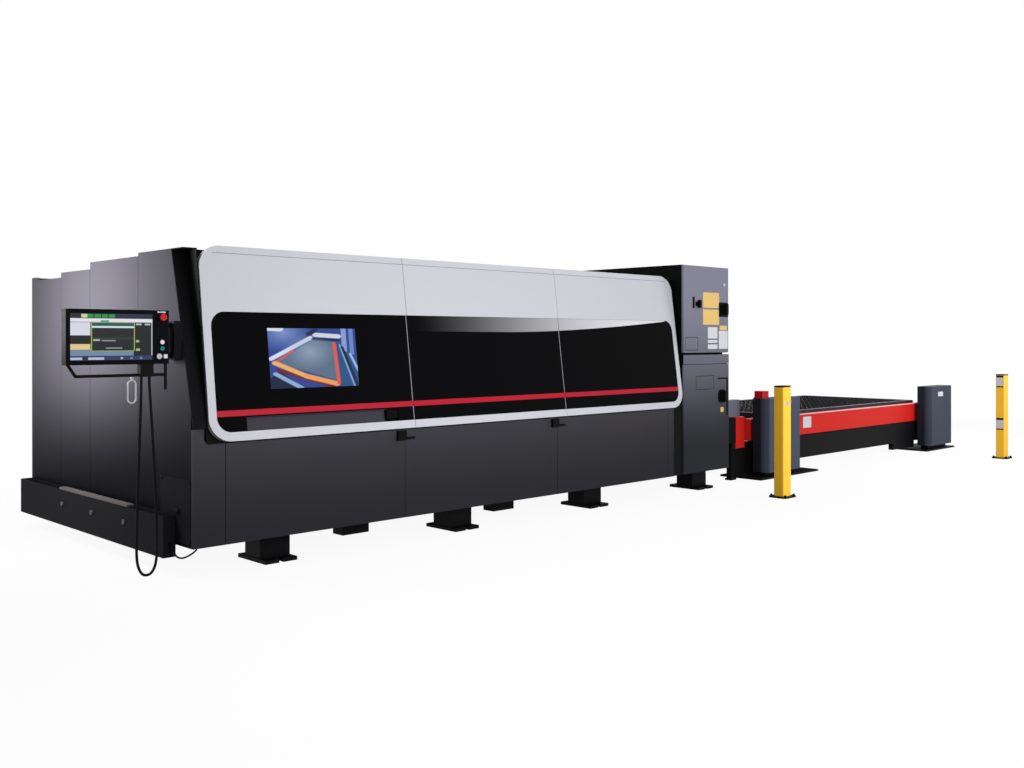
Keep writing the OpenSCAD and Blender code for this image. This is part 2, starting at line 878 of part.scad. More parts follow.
module stripe(i) {
  x0 = max(section_x(i) + seam / 2, inset_x0 + eps);
  x1 = min(section_x(i + 1) - seam / 2, inset_x1 - eps);
  blk([x0, inset_v0 + stripe_up, -lip_t], [x1, inset_v0 + stripe_up + stripe_h, trim_t - lip_t]);
}

module fixed_stripes() {
  color(red)
    place()
      on_front() {
        stripe(1);
        stripe(2);
      }
}

// Bright sweep along the windows' upper edge: level at first, then rising to the right corner
function sweep_v(x) =
  let (s = max(0, (x - inset_x1 + sweep_run) / sweep_run))
    inset_v1 - sweep_drop * (1 - pow(s, 1.6));

module sweep_trim() {
  color(silver)
    place()
      on_front()
        for (i = [1, 2]) {
          steps = 12;
          x0 = section_x(i) + seam / 2;
          x1 = i == 2 ? inset_x1 - window_r : section_x(i + 1) - seam / 2;
          xs = [for (k = [0 : steps]) x0 + (x1 - x0) * k / steps];
          translate([0, 0, -lip_t])
            linear_extrude(trim_t)
              polygon(concat([for (x = xs) [x, sweep_v(x)]], [[x1, inset_v1 - eps], [x0, inset_v1 - eps]]));
        }
}

// Black return beside the cover's left edge: a leaning back, a side wall and a top
module left_return() {
  color(black)
    place() {
      back_t = 8;
      wall_x = cover_x - 2;
      face_d = 6;
      z0 = waist_z + seam;
      along_x(0, wall_x)
        polygon([[-back_t, z0], [slant - back_t, end_h1], [slant - clear, end_h1], [-clear, z0]]);
      along_x(wall_x - 6, wall_x)
        polygon([[cover_y_at(z0, face_d), z0], [cover_y_at(end_h1, face_d), end_h1], [slant - 2, end_h1],
          [-2, z0]]);
      blk([0, cover_y_at(end_h1, face_d), end_h1 - 6], [wall_x, slant - 2, end_h1]);
      swing = norm([cover_h - hinge_v, hinge_d]) + 2;
      blk([wall_x - eps, hinge_y + swing, header_top + clear],
        [cover_x + 1.4 * cover_r, slant - clear, end_h1]);
    }
}

// Black filler between the cover's right edge and the cabinet
module right_return() {
  color(black)
    place() {
      fill_t = 6;
      x0 = cabin_len + 2;
      x1 = cab_x - clear;
      y0 = front_y(20, cover_t);
      top_v = max(cover_h - 20, front_v(end_h1 - 2 * clear, cover_t));
      on_front()
        blk([x0, 8, -cover_t - fill_t], [x1, top_v, -cover_t]);
      blk([x0 + eps, y0, skirt_z], [x1 - eps, y0 + fill_t, front_z(20, cover_t)]);
    }
}

// Open channel along the left end's foot
module side_trough() {
  color(black)
    place()
      difference() {
        blk([-trough_w, trough_y, trough_z], [0, cabin_depth, trough_top]);
        blk([trough_t - trough_w, trough_y + trough_t, trough_z + trough_t],
          [-trough_t, cabin_depth - trough_t, trough_top + eps]);
      }
}

// Steel strip on the trough's edge, and three bolts in its wall
module trough_strip() {
  color(steel)
    place() {
      y0 = trough_y + strip_at;
      edge = 51;
      pitch = (strip_len - 2 * edge) / 2;
      bolt_z = trough_z + 0.6 * (trough_top - trough_z);
      blk([-trough_w - 3, y0, trough_top], [-trough_w + 45, y0 + strip_len, trough_top + 14]);
      for (k = [0 : 2])
        rod_x(-trough_w - 8, -trough_w, y0 + edge + pitch * k, bolt_z, 17);
    }
}

// Shell of a cabinet part between two heights, open at the front, with a mounting plate inside
module cabinet_shell(z0, z1, face_z) {
  lip_y = door_t + clear;
  difference() {
    blk([cab_x, 0, z0], [cab_x1, cab_d, z1]);
    blk([cab_x - eps, -eps, z0 - eps], [cab_x1 + eps, lip_y, face_z]);
    blk([cab_x + cab_wall, -2 * eps, z0 + cab_wall],
      [cab_x1 - cab_wall, cab_d - cab_wall, min(face_z, z1 + eps) - cab_wall]);
  }
  for (x = [cab_x + 2 * cab_wall, (cab_x + cab_x1) / 2 + cab_wall])
    blk([x, cab_d - 3 * cab_wall, z0 + 4 * cab_wall],
      [x + cab_w / 3, cab_d - cab_wall + eps, z1 - 12 * cab_wall]);
}

module cabinet_lower() {
  color(slate)
    place()
      cabinet_shell(skirt_z, split_z, low_door_top + 2);
}

module cabinet_upper() {
  color(slate)
    place() {
      cabinet_shell(upper_z, cab_top, cab_top + eps);
      blk([cab_x + cab_wall, door_t + 2 * cab_wall, split_z], [cab_x1 - cab_wall, cab_d, upper_z + eps]);
    }
}

// Hood behind the cabinet over the pallet's lane, with a rear leg
module portal_hood() {
  color(slate)
    place() {
      y1 = lane_out + beam_w + leg_d;
      blk([cab_x, cab_d, hood_z], [cab_x1, y1, cab_top]);
      blk([cab_x, y1 - leg_d, skirt_z], [cab_x1, y1, hood_z + eps]);
    }
}

module x_rails() {
  color(steel)
    place()
      for (y = [rail_mid, rail_mid2])
        blk([bed_x0 + 60, y - rail_w / 2, bed_top], [bed_x1 - 20, y + rail_w / 2, rail_top]);
}

// Angle rails that carry the pallet at the pass line, through the cabin and the portal
module pallet_rails() {
  color(slate)
    place() {
      rail_inset = 200;
      x0 = bed_x0 + rail_inset;
      z0 = ledge_z + ledge_t;
      blk([x0, lane_in, z0], [bridge_x1, lane_in + web_t, pass_z]);
      blk([x0, lane_in, pass_z - ledge_t], [bridge_x1, lane_in + ledge_w, pass_z]);
      blk([x0, lane_out - web_t, z0], [bridge_x1, lane_out, pass_z]);
      blk([x0, lane_out - ledge_w, pass_z - ledge_t], [bridge_x1, lane_out, pass_z]);
    }
}

// Red end blocks of the beams that carry the rails between the cabin and the table
module bridge_beams() {
  color(red)
    place()
      for (y = [lane_in - lift_w, lane_out])
        blk([bridge_mid, y, lift_z - lift_w], [bridge_x1, y + lift_w, bridge_top]);
}

// Beam of the bridge behind a red end block, on a leg with a foot plate
module bridge_beam(y) {
  leg = 60;
  x = bridge_mid - 80;
  blk([bridge_x0, y, lift_z], [bridge_mid, y + lift_w, bridge_top]);
  blk([x, y, plate_t - eps], [x + leg, y + lift_w, lift_z + eps]);
  blk([x - 20, y - 5, 0], [x + leg + 20, y + lift_w + 5, plate_t]);
}

// Base frame of the shuttle table with four stops for the lift frame, a drive housing and the bridge
module table_base() {
  color(black)
    place() {
      leg = 120;
      z1 = base_z + base_h;
      for (y = [base_y, base_y2]) {
        blk([table_x, y, base_z], [lift_x1, y + lift_w, z1]);
        for (x = [table_x + 60, lift_x1 - 260]) {
          blk([x, y, plate_t], [x + leg, y + lift_w, base_z + eps]);
          blk([x, y, z1 - eps], [x + leg, y + lift_w, stop_z]);
        }
      }
      for (y = [base_y, base_y2])
        blk([bridge_mid - 20 + clear, y, 2 * plate_t], [table_x + eps, y + lift_w, lift_z - lift_w - seam]);
      for (y = [lane_in - lift_w, lane_out])
        bridge_beam(y);
      blk([pillar2_x - drive_len, base_y, 2 * plate_t], [pillar2_x - seam, base_y + lift_w, stop_z]);
      for (x = [table_x, lift_x1 - cross_w])
        blk([x, base_y + lift_w - eps, base_z], [x + cross_w, base_y2 + eps, z1]);
    }
}

// Folded covers over the lift columns, with a bevelled left edge, on a plinth of the floor plates
module pillar_covers() {
  color(slate)
    place()
      for (x = [table_x, pillar2_x]) {
        bevel = 75;
        translate([0, 0, plate_t + plinth])
          linear_extrude(pillar_h - plate_t - plinth)
            polygon([[x, pillar_y + bevel], [x + bevel * 0.6, pillar_y], [x + pillar_w, pillar_y],
              [x + pillar_w, pillar_y + pillar_d], [x, pillar_y + pillar_d]]);
      }
}

module floor_plates() {
  color(black)
    place() {
      y0 = pillar_y - 20;
      blk([plate_x, y0, 0], [table_x + pillar_w + 350, base_y + lift_w + 200, plate_t]);
      blk([pillar2_x - 140, y0, 0], [table_x1 + plate_over, base_y + lift_w + 200, plate_t]);
      for (x = [table_x, lift_x1 - 340])
        blk([x, base_y2 - 60, 0], [x + 320, base_y2 + lift_w + 60, plate_t]);
      for (x = [table_x, pillar2_x])
        blk([x + 60, pillar_y + 60, plate_t - eps],
          [x + pillar_w - 40, pillar_y + pillar_d - 20, plate_t + plinth]);
    }
}

// Signal lamp on the left pillar: a dark foot under a red lens
module signal_lamp() {
  color(red)
    place() {
      x0 = table_x + 8;
      y1 = pillar_y + pillar_d - 5;
      blk([x0, y1 - 105, pillar_h], [x0 + 130, y1, pillar_h + 12]);
      blk([x0 + 5, y1 - 100, pillar_h + 11], [x0 + 125, y1 - 5, pillar_h + 75]);
    }
}

// Places a shape on each safety post's foot
module at_posts() {
  for (p = [[post1_x, -post1_y], [post2_x, -post2_y]])
    translate([p[0], p[1], 0])
      children();
}

module safety_posts() {
  color(yellow)
    place()
      at_posts()
        translate([0, 0, base_t])
          linear_extrude(post_h - base_t - cap_t)
            rounded(-post_w / 2, -post_d / 2, post_w, post_d, 10);
}

// Caps, and base plates with four anchor holes each
module post_ends() {
  color(black)
    place()
      at_posts() {
        translate([0, 0, post_h - cap_t])
          linear_extrude(cap_t)
            rounded(-post_w / 2, -post_d / 2, post_w, post_d, 10);
        linear_extrude(base_t)
          difference() {
            rounded(-base_w / 2, -base_d / 2, base_w, base_d, 30);
            for (x = [-1, 1])
              for (y = [-1, 1])
                translate([x * anchor_off, y * anchor_off])
                  circle(d = anchor_d);
          }
      }
}

// Wall bracket of the operator panel with two ears and a pivot pin
module hmi_bracket() {
  color(black)
    place() {
      blk([pivot_x + 30, pivot_y - 70, bracket_z0], [0, pivot_y + 71, bracket_z1]);
      for (z = [bracket_z0 + 10, bracket_z1 - 10 - ear_t]) {
        translate([pivot_x, pivot_y, z])
          cylinder(r = 2 * pivot_r, h = ear_t);
        blk([pivot_x, pivot_y - 2 * pivot_r, z], [pivot_x + 31, pivot_y + 2 * pivot_r, z + ear_t]);
      }
      translate([pivot_x, pivot_y, bracket_z0 + 10])
        cylinder(r = pivot_r, h = bracket_z1 - bracket_z0 - 20);
    }
}

module link_cable() {
  color(black)
    place()
      tube_along(link_path, link_d, [1, 0, 0]);
}

// Left cover section as a door, with two hinge lugs behind its upper edge
module door_cover() {
  color(silver)
    place() {
      cover_section(0, door_depth);
      for (x = [section_x(0) + hinge_off, section_x(1) - hinge_off])
        on_front()
          difference() {
            union() {
              rod_x(x - hinge_lug / 2, x + hinge_lug / 2, hinge_v, -hinge_d, knuckle_r);
              blk([x - hinge_lug / 2, hinge_v - knuckle_r, -hinge_d],
                [x + hinge_lug / 2, hinge_v + knuckle_r, eps - door_depth]);
            }
            rod_x(x - hinge_lug, x + hinge_lug, hinge_v, -hinge_d, pin_r + clear);
          }
    }
}

// Door window with a pocket for the screen and a slot for the grip recess
module door_window() {
  color(black)
    place()
      on_front()
        difference() {
          window_plate(0);
          blk([cover_x + screen_x, screen_v, -lip_t - screen_t - eps],
            [cover_x + screen_x + screen_w, screen_v + screen_h, 0]);
          blk([cover_x + grip_x, inset_v0, -cover_t], [cover_x + grip_x + grip_w, inset_v0 + grip_h, 0]);
        }
}

module door_screen() {
  color("royalblue")
    place()
      on_front()
        blk([cover_x + screen_x + clear, screen_v + clear, -lip_t - screen_t - eps],
          [cover_x + screen_x + screen_w - clear, screen_v + screen_h - clear, -lip_t - eps]);
}

module door_stripe() {
  color(red)
    place()
      on_front()
        stripe(0);
}

// Grip recess: a folded pan with a grip block at its right end
module door_grip() {
  color(black)
    place()
      on_front() {
        lo = [cover_x + grip_x + clear, inset_v0 + clear, 5 - door_depth];
        hi = [cover_x + grip_x + grip_w - clear, inset_v0 + grip_h - clear, -lip_t - eps];
        pan(lo, hi, [0, 0, 1]);
        blk([hi[0] - block_w - 8, lo[1] + 22, lo[2] + eps], [hi[0] - 8, hi[1] - 8, hi[2] - 3]);
      }
}

// Gantry: a box beam with ribs on two trucks that straddle the linear rails
module gantry_beam() {
  color(steel)
    place() {
      mid = (gantry_x0 + gantry_x1) / 2;
      blk([gantry_x0, gantry_y0, gantry_z], [gantry_x1, gantry_y1, gantry_z + gantry_h]);
      for (y = [rail_mid, rail_mid2])
        difference() {
          blk([mid - truck_len / 2, y - truck_w / 2, rail_top - rail_h / 2],
            [mid + truck_len / 2, y + truck_w / 2, gantry_z + eps]);
          blk([mid - truck_len, y - rail_w / 2 - clear, 0],
            [mid + truck_len, y + rail_w / 2 + clear, rail_top + clear]);
        }
      for (k = [1 : 5])
        translate([gantry_x1 - eps, gantry_y0 + k * (gantry_y1 - gantry_y0) / 6, gantry_z])
          cube([30, 20, gantry_h]);
    }
}

// Carriage that hangs over the beam's left edge
module head_carriage() {
  color(charcoal)
    place() {
      z1 = gantry_z + gantry_h;
      blk([carriage_x - carriage_d, lane_mid - carriage_w / 2, gantry_z - 40],
        [carriage_x, lane_mid + carriage_w / 2, z1 + 40]);
      blk([carriage_x - eps, lane_mid - carriage_w / 2, z1 + clear],
        [carriage_x + gantry_w / 2, lane_mid + carriage_w / 2, z1 + 40]);
    }
}

// Cutting head: a housing over a collar and a tapering nozzle
module cutting_head() {
  color(slate)
    place() {
      z = nozzle_z;
      blk([head_x - head_d, lane_mid - head_w / 2, z + 90], [head_x, lane_mid + head_w / 2, z + 440]);
      translate([head_x - head_d / 2, lane_mid, z + 50])
        cylinder(r = 36, h = 41);
      translate([head_x - head_d / 2, lane_mid, z])
        cylinder(r1 = 6, r2 = 30, h = 51);
    }
}

// Red lift frame with ledges for the pallet
module lift_frame() {
  color(red)
    place() {
      z1 = lift_z + lift_h;
      blk([lift_x0, lane_y, lift_z], [lift_x1, lane_in, z1]);
      blk([lift_x0, lane_out, lift_z], [lift_x1, lane_out + lift_w, z1]);
      blk([lift_x0, lane_in - eps, ledge_z - ledge_t], [lift_x1, lane_in + ledge_w, ledge_z]);
      blk([lift_x0, lane_out - ledge_w, ledge_z - ledge_t], [lift_x1, lane_out + eps, ledge_z]);
      for (x = [lift_x0, lift_x1 - cross_w])
        blk([x, lane_in - eps, lift_z + 5], [x + cross_w, lane_out + eps, ledge_z - ledge_t + eps]);
    }
}

// Pallet: a welded rim with inner ledges that carry the slats
module pallet_frame() {
  color(slate)
    place() {
      x1 = pallet_x0 + pallet_len;
      difference() {
        blk([pallet_x0, pallet_y0, pallet_z], [x1, pallet_y1, pallet_z + pallet_h]);
        blk([pallet_x0 + pallet_rail, slat_y0, pallet_z - eps],
          [x1 - pallet_rail, slat_y1, pallet_z + pallet_h + eps]);
      }
      for (y = [slat_y0 - eps, slat_y1 - 30])
        blk([pallet_x0 + pallet_rail - eps, y, slat_z - 10], [x1 - pallet_rail + eps, y + 30 + eps, slat_z]);
    }
}

// Toothed slats across the pallet
module pallet_slats() {
  color(steel)
    place() {
      y0 = slat_y0 + clear;
      w = slat_y1 - slat_y0 - 2 * clear;
      teeth = floor(w / tooth_pitch);
      step = w / teeth;
      count = floor((pallet_len - 2 * pallet_rail) / slat_pitch) - 1;
      first = pallet_x0 + (pallet_len - count * slat_pitch) / 2;
      for (i = [0 : count])
        along_x(first + i * slat_pitch - slat_t / 2, first + i * slat_pitch + slat_t / 2)
          polygon(concat([[y0, slat_z]], [for (k = [0 : teeth - 1]) each
            [[y0 + k * step, slat_z + slat_h - tooth_h], [y0 + (k + 0.5) * step, slat_z + slat_h]]],
            [[y0 + w, slat_z + slat_h - tooth_h], [y0 + w, slat_z]]));
    }
}

// Places of the turning handles on the cabinet doors
switch_at = [cab_x1 - 89, 1733];
latch_at = [cab_x + 229, 1776];
low_handle_at = [cab_x1 - 106, 895];

// Cabinet door with a rounded edge about its hinge line
module cabinet_door(z0, z1, hinge_x, holes) {
  r = door_t / 2;
  difference() {
    union() {
      blk([hinge_x > cab_x + door_t ? cab_x + 2 : hinge_x, 0, z0],
        [hinge_x > cab_x + door_t ? hinge_x : cab_x1 - 2, door_t, z1]);
      translate([hinge_x, r, z0])
        cylinder(r = r, h = z1 - z0);
    }
    for (h = holes)
      rod_y(h[0], -eps, door_t - sheet_t, h[1], stem_r + clear);
  }
}

module upper_door() {
  color(slate)
    place()
      cabinet_door(upper_z + 3, cab_top - 3, cab_x1 - 2 - door_t / 2, [switch_at, latch_at]);
}

module lower_door() {
  color(slate)
    place()
      cabinet_door(skirt_z + 3, low_door_top - 1, cab_x + 2 + door_t / 2, [low_handle_at]);
}

// Rotary handle on a stem: a hub and a grip bar
module turn_handle(at, hub_r, grip_l, grip_w, depth) {
  rod_y(at[0], -clear - 8, -clear, at[1], hub_r);
  rod_y(at[0], -clear - eps, door_t - 2 * sheet_t, at[1], stem_r);
  blk([at[0] - grip_w / 2, -depth, at[1] - grip_l / 2], [at[0] + grip_w / 2, -clear - 7, at[1] + grip_l / 2]);
}

module main_switch() {
  color(black)
    place()
      turn_handle(switch_at, 46, 100, 34, 48);
}

module upper_handle() {
  color(black)
    place()
      turn_handle(latch_at, 22, 76, 26, 34);
}

module lower_handle() {
  color(black)
    place()
      turn_handle(low_handle_at, 48, 104, 36, 44);
}

// Panel housing with a screen recess, bores for the keys and a knuckle on the pivot pin
module hmi_housing() {
  color(black)
    place() {
      z1 = hmi_z + hmi_h;
      difference() {
        blk([hmi_x0, hmi_y, hmi_z], [hmi_x1, hmi_y + hmi_t, z1]);
        blk([hmi_x0 + screen_edge, hmi_y - eps, hmi_z + screen_edge],
          [hmi_x1 - keys_w, hmi_y + screen_t, z1 - screen_edge]);
        for (k = [[keys_x, estop_z], [keys_x, white_z], [keys_x, teal_z], [key_x, key_z]])
          rod_y(k[0], hmi_y - eps, hmi_y + bore_len, k[1], stem_r + clear);
      }
      difference() {
        union() {
          translate([pivot_x, pivot_y, bracket_z0 + 10 + ear_t + clear])
            cylinder(r = 2 * pivot_r, h = bracket_z1 - bracket_z0 - 20 - 2 * ear_t - 2 * clear);
          blk([pivot_x - 60, hmi_y + hmi_t - eps, bracket_z0 + 60],
            [pivot_x, pivot_y + pivot_r, bracket_z1 - 60]);
        }
        translate([pivot_x, pivot_y, bracket_z0])
          cylinder(r = pivot_r + clear, h = bracket_z1 - bracket_z0);
      }
    }
}

module hmi_screen() {
  color("steelblue")
    place()
      blk([hmi_x0 + screen_edge + clear, hmi_y + eps, hmi_z + screen_edge + clear],
        [hmi_x1 - keys_w - clear, hmi_y + screen_t, hmi_z + hmi_h - screen_edge - clear]);
}

// Bent handle bar below the panel, with a stub tube and a cable block
module hmi_handle() {
  color(black)
    place() {
      bend = 60;
      left = [hmi_x0 + 2 * bar_r, bar_y, hmi_z];
      low = [hmi_x0 + bend, bar_y, bar_z];
      right = [bar_x1, bar_y, bar_z];
      reach = norm(low - left);
      difference() {
        union() {
          translate(low)
            rotate([0, -atan((low[0] - left[0]) / (left[2] - low[2])), 0])
              cylinder(r = bar_r, h = reach + bar_r);
          translate(low)
            sphere(r = bar_r);
          rod_x(low[0], right[0], bar_y, bar_z, bar_r);
          translate(right)
            sphere(r = bar_r);
        }
        blk([hmi_x0 - bend, bar_y - bend, hmi_z], [hmi_x1 + bend, bar_y + bend, hmi_z + bend]);
      }
      translate([right[0], bar_y, bar_z - 90])
        cylinder(r = bar_r, h = hmi_z - bar_z + 90);
      blk([block_x0, bar_y - 20, block_z0], [block_x1, bar_y + 25, hmi_z]);
    }
}

// Snap hook that hangs from the handle bar
module hook_ring() {
  color(steel)
    place() {
      wire = 5;
      ring_r = 24;
      x = block_x0 - 44;
      z_top = bar_z - bar_r - 2 * wire - 1;
      run = 84;
      translate([x, bar_y, z_top])
        rotate([90, 0, 0])
          rotate_extrude(angle = 360)
            translate([wire + 1, 0])
              circle(r = wire);
      translate([x, bar_y, z_top - 2 * wire - ring_r])
        rotate([90, 0, 0])
          rotate_extrude(angle = 180)
            translate([ring_r, 0])
              circle(r = wire);
      for (s = [-1, 1])
        translate([x + s * ring_r, bar_y, z_top - 2 * wire - ring_r - run])
          cylinder(r = wire, h = run);
      translate([x, bar_y, z_top - 2 * wire - ring_r - run])
        rotate([-90, 0, 0])
          rotate_extrude(angle = 180)
            translate([ring_r, 0])
              circle(r = wire);
    }
}

// A pressed key: a head in front of the panel on a stem in its bore
module key_head(x, z, r, head, gap) {
  rod_y(x, hmi_y - gap - head, hmi_y - gap, z, r);
  rod_y(x, hmi_y - gap - eps, hmi_y + stem_len, z, stem_r);
}

module emergency_stop() {
  color(red)
    place() {
      key_head(keys_x, estop_z, 14, 6, 7);
      rod_y(keys_x, hmi_y - 28, hmi_y - 12, estop_z, 21);
    }
}

module white_button() {
  color("white")
    place()
      key_head(keys_x, white_z, 13, 7, 5);
}

module teal_button() {
  color("teal")
    place()
      key_head(keys_x, teal_z, 13, 7, 5);
}

module key_switch() {
  color(steel)
    place()
      difference() {
        key_head(key_x, key_z, 16, 9, clear);
        blk([key_x - 2, hmi_y - 20, key_z - 9], [key_x + 2, hmi_y - 5, key_z + 9]);
      }
}

module hmi_cable() {
  color(black)
    place()
      tube_along(cable_path, cable_d, [0, 1, 0]);
}

bed_frame();
machine_feet();
front_frame();
left_frame();
right_frame();
rear_frame();
left_panels();
access_cover();
right_panels();
rear_panels();
roof_panels();
lower_panels();
cover_catches();
fixed_covers();
fixed_windows();
fixed_stripes();
sweep_trim();
left_return();
right_return();
side_trough();
trough_strip();
cabinet_lower();
cabinet_upper();
portal_hood();
x_rails();
pallet_rails();
bridge_beams();
table_base();
pillar_covers();
floor_plates();
signal_lamp();
safety_posts();
post_ends();
hmi_bracket();
link_cable();
door_cover();
door_window();
door_screen();
door_stripe();
door_grip();
gantry_beam();
head_carriage();
cutting_head();
lift_frame();
pallet_frame();
pallet_slats();
upper_door();
upper_handle();
main_switch();
lower_door();
lower_handle();
hmi_housing();
hmi_screen();
hmi_handle();
hook_ring();
emergency_stop();
white_button();
teal_button();
key_switch();
hmi_cable();
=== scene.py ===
# %% [markdown]
# # Dressing a laser cutting machine
# The solid model brings every panel, beam and moving piece at its real size. This lesson gives them
# their paint, light and a camera, and adds what is too thin or too soft for a solid model: cables,
# screen pictures, plain plates, screws and fine edges.

import math

import bpy
import numpy as np
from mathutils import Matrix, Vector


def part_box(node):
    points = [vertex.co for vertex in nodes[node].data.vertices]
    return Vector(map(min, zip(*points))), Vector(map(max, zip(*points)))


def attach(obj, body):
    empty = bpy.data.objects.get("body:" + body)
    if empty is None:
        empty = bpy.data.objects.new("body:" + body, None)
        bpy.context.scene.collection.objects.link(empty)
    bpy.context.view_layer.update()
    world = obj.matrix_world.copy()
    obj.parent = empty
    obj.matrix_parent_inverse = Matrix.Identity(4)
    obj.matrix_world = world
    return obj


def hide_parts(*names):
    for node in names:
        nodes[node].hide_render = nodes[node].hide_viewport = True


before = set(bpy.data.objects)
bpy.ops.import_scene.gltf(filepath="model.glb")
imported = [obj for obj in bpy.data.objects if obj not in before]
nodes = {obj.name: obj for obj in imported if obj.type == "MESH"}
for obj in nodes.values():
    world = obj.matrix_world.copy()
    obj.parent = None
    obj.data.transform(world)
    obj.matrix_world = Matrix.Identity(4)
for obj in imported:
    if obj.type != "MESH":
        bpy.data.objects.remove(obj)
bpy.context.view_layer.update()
print("loaded", len(nodes), "solid pieces")

# %% [markdown]
# ## Where things are
# Sizes on the machine are easiest to say from its left end, its lower front panels and the floor, in
# millimetres. The frame tells where those planes are, so that one helper turns such a place into metres.

# %% Places in millimetres from the left front corner
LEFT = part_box("left_panels")[0][0]
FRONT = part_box("lower_panels")[0][1]
MM = 0.001


def at(x, y, z):
    """Point in metres: millimetres right of the left end, behind the front panels, above the floor."""
    return np.array([LEFT + x * MM, FRONT + y * MM, z * MM])


print("left end at", round(LEFT, 4), "front at", round(FRONT, 4))

# %% [markdown]
# ## Camera
# The photograph was taken at eye height from the left front. Its upright edges stay upright in the picture.
# A camera that is tilted down would lean them, so this one is level, and a small shift of the lens puts the
# horizon above the picture's middle.

# %% Camera
PICTURE_W = 1024
FOCAL_PX = 1033.5
HORIZON_ABOVE_MIDDLE_PX = 44.6
SENSOR_MM = 36.0
TURN_TO_RIGHT_DEG = 44.33
EYE_PLACE = (-2942, -5730, 1443)
VIEW_DEPTH = 200.0

eye = bpy.data.cameras.new("eye_level")
eye.sensor_width = SENSOR_MM
eye.lens = SENSOR_MM * FOCAL_PX / PICTURE_W
eye.shift_y = -HORIZON_ABOVE_MIDDLE_PX / PICTURE_W
eye.clip_end = VIEW_DEPTH
camera = bpy.data.objects.new("eye_level", eye)
bpy.context.collection.objects.link(camera)
camera.location = at(*EYE_PLACE)
camera.rotation_euler = (math.radians(90), 0, math.radians(-TURN_TO_RIGHT_DEG))
bpy.context.scene.camera = camera
bpy.context.scene.view_settings.view_transform = "Standard"
print("camera at", [round(c, 3) for c in camera.location])

# %% [markdown]
# ## Surfaces from rings
# Most small pieces are a closed outline carried through a few levels, as a lathe or a press would make
# them. Blender's own cubes and cylinders could be bevelled one by one. Rings of points need one helper for
# all of them: it joins the rings with four-sided faces, closes both ends and turns the faces outwards.

# %% Ring helper
def from_rings(name, shells, material, body):
    """One mesh of closed shells, each an array of rings (levels, points, 3), capped at both ends.

    A face joins two neighbours on a ring with the same two on the next ring. The sum of a . (b x c) over
    the faces is positive where they point outwards, and the corners are turned round where it isn't.
    """
    points, faces, start = [], [], 0
    for rings in shells:
        levels, count, _ = rings.shape
        index = np.arange(levels * count).reshape(levels, count)
        ahead = np.roll(index, -1, axis=1)
        walls = np.stack([index[:-1], ahead[:-1], ahead[1:], index[1:]], axis=-1).reshape(-1, 4)
        caps = [index[0][::-1], index[-1]]
        flat = rings.reshape(-1, 3)
        a, b, c = (flat[walls[:, k]] - flat.mean(axis=0) for k in (0, 1, 2))
        order = 1 if np.einsum("ij,ij->i", a, np.cross(b, c)).sum() > 0 else -1
        faces += (walls[:, ::order] + start).tolist() + [(cap[::order] + start).tolist() for cap in caps]
        points.append(flat)
        start += len(flat)
    mesh = bpy.data.meshes.new(name)
    mesh.from_pydata(np.concatenate(points).tolist(), [], faces)
    mesh.update()
    piece = bpy.data.objects.new(name, mesh)
    bpy.context.collection.objects.link(piece)
    piece.data.materials.append(material)
    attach(piece, body)
    return piece


def smooth(piece):
    """Shades a piece as one soft surface."""
    piece.data.shade_smooth()
    return piece


print("ring helper for closed shells")

# %% [markdown]
# ## Paint
# Machine covers are powder coated: a satin paint with a fine, even grain and a slight orange peel. A picture
# of such a coat could be laid on each panel, but every panel would then have to be unwrapped for it. Noise
# on the piece's own coordinates needs none of that, so one node group makes the grain, and each paint uses
# it with its own values. A second group lets a colour fade along a direction of the machine. Nothing in
# them depends on the camera.

# %% Shader helpers
def to_linear(values):
    """Screen values from 0 to 255, turned into the linear values that a shader takes."""
    v = np.asarray(values) / 255.0
    return np.where(v <= 0.04045, v / 12.92, ((v + 0.055) / 1.055) ** 2.4)


def linear(r, g, b):
    """Colour of a shader's socket from its screen values."""
    return tuple(to_linear((r, g, b))) + (1.0,)


def wire(tree, node, inputs):
    """Gives each input, by name or number, a link from another node's socket or a plain value."""
    for key, value in inputs.items():
        if isinstance(value, bpy.types.NodeSocket):
            tree.links.new(value, node.inputs[key])
        else:
            node.inputs[key].default_value = value
    return node


def add_node(tree, kind, inputs, **settings):
    """New node with its settings made and its inputs wired."""
    node = tree.nodes.new(kind)
    for label, value in settings.items():
        setattr(node, label, value)
    return wire(tree, node, inputs)


def new_group(name, inputs, outputs):
    """Shader node group with sockets from (kind, name, start value) and (kind, name) lists."""
    group = bpy.data.node_groups.new(name, "ShaderNodeTree")
    for kind, label, value in inputs:
        socket = group.interface.new_socket(label, in_out="INPUT", socket_type=kind)
        socket.default_value = value
    for kind, label in outputs:
        group.interface.new_socket(label, in_out="OUTPUT", socket_type=kind)
    into = group.nodes.new("NodeGroupInput")
    out = group.nodes.new("NodeGroupOutput")
    return group, into.outputs, out


print("shader helpers")

# %% Shader groups
MID_GREY = (0.5, 0.5, 0.5, 1)
NOISE_DETAIL = 3.0
NOISE_MIDDLE = 0.5


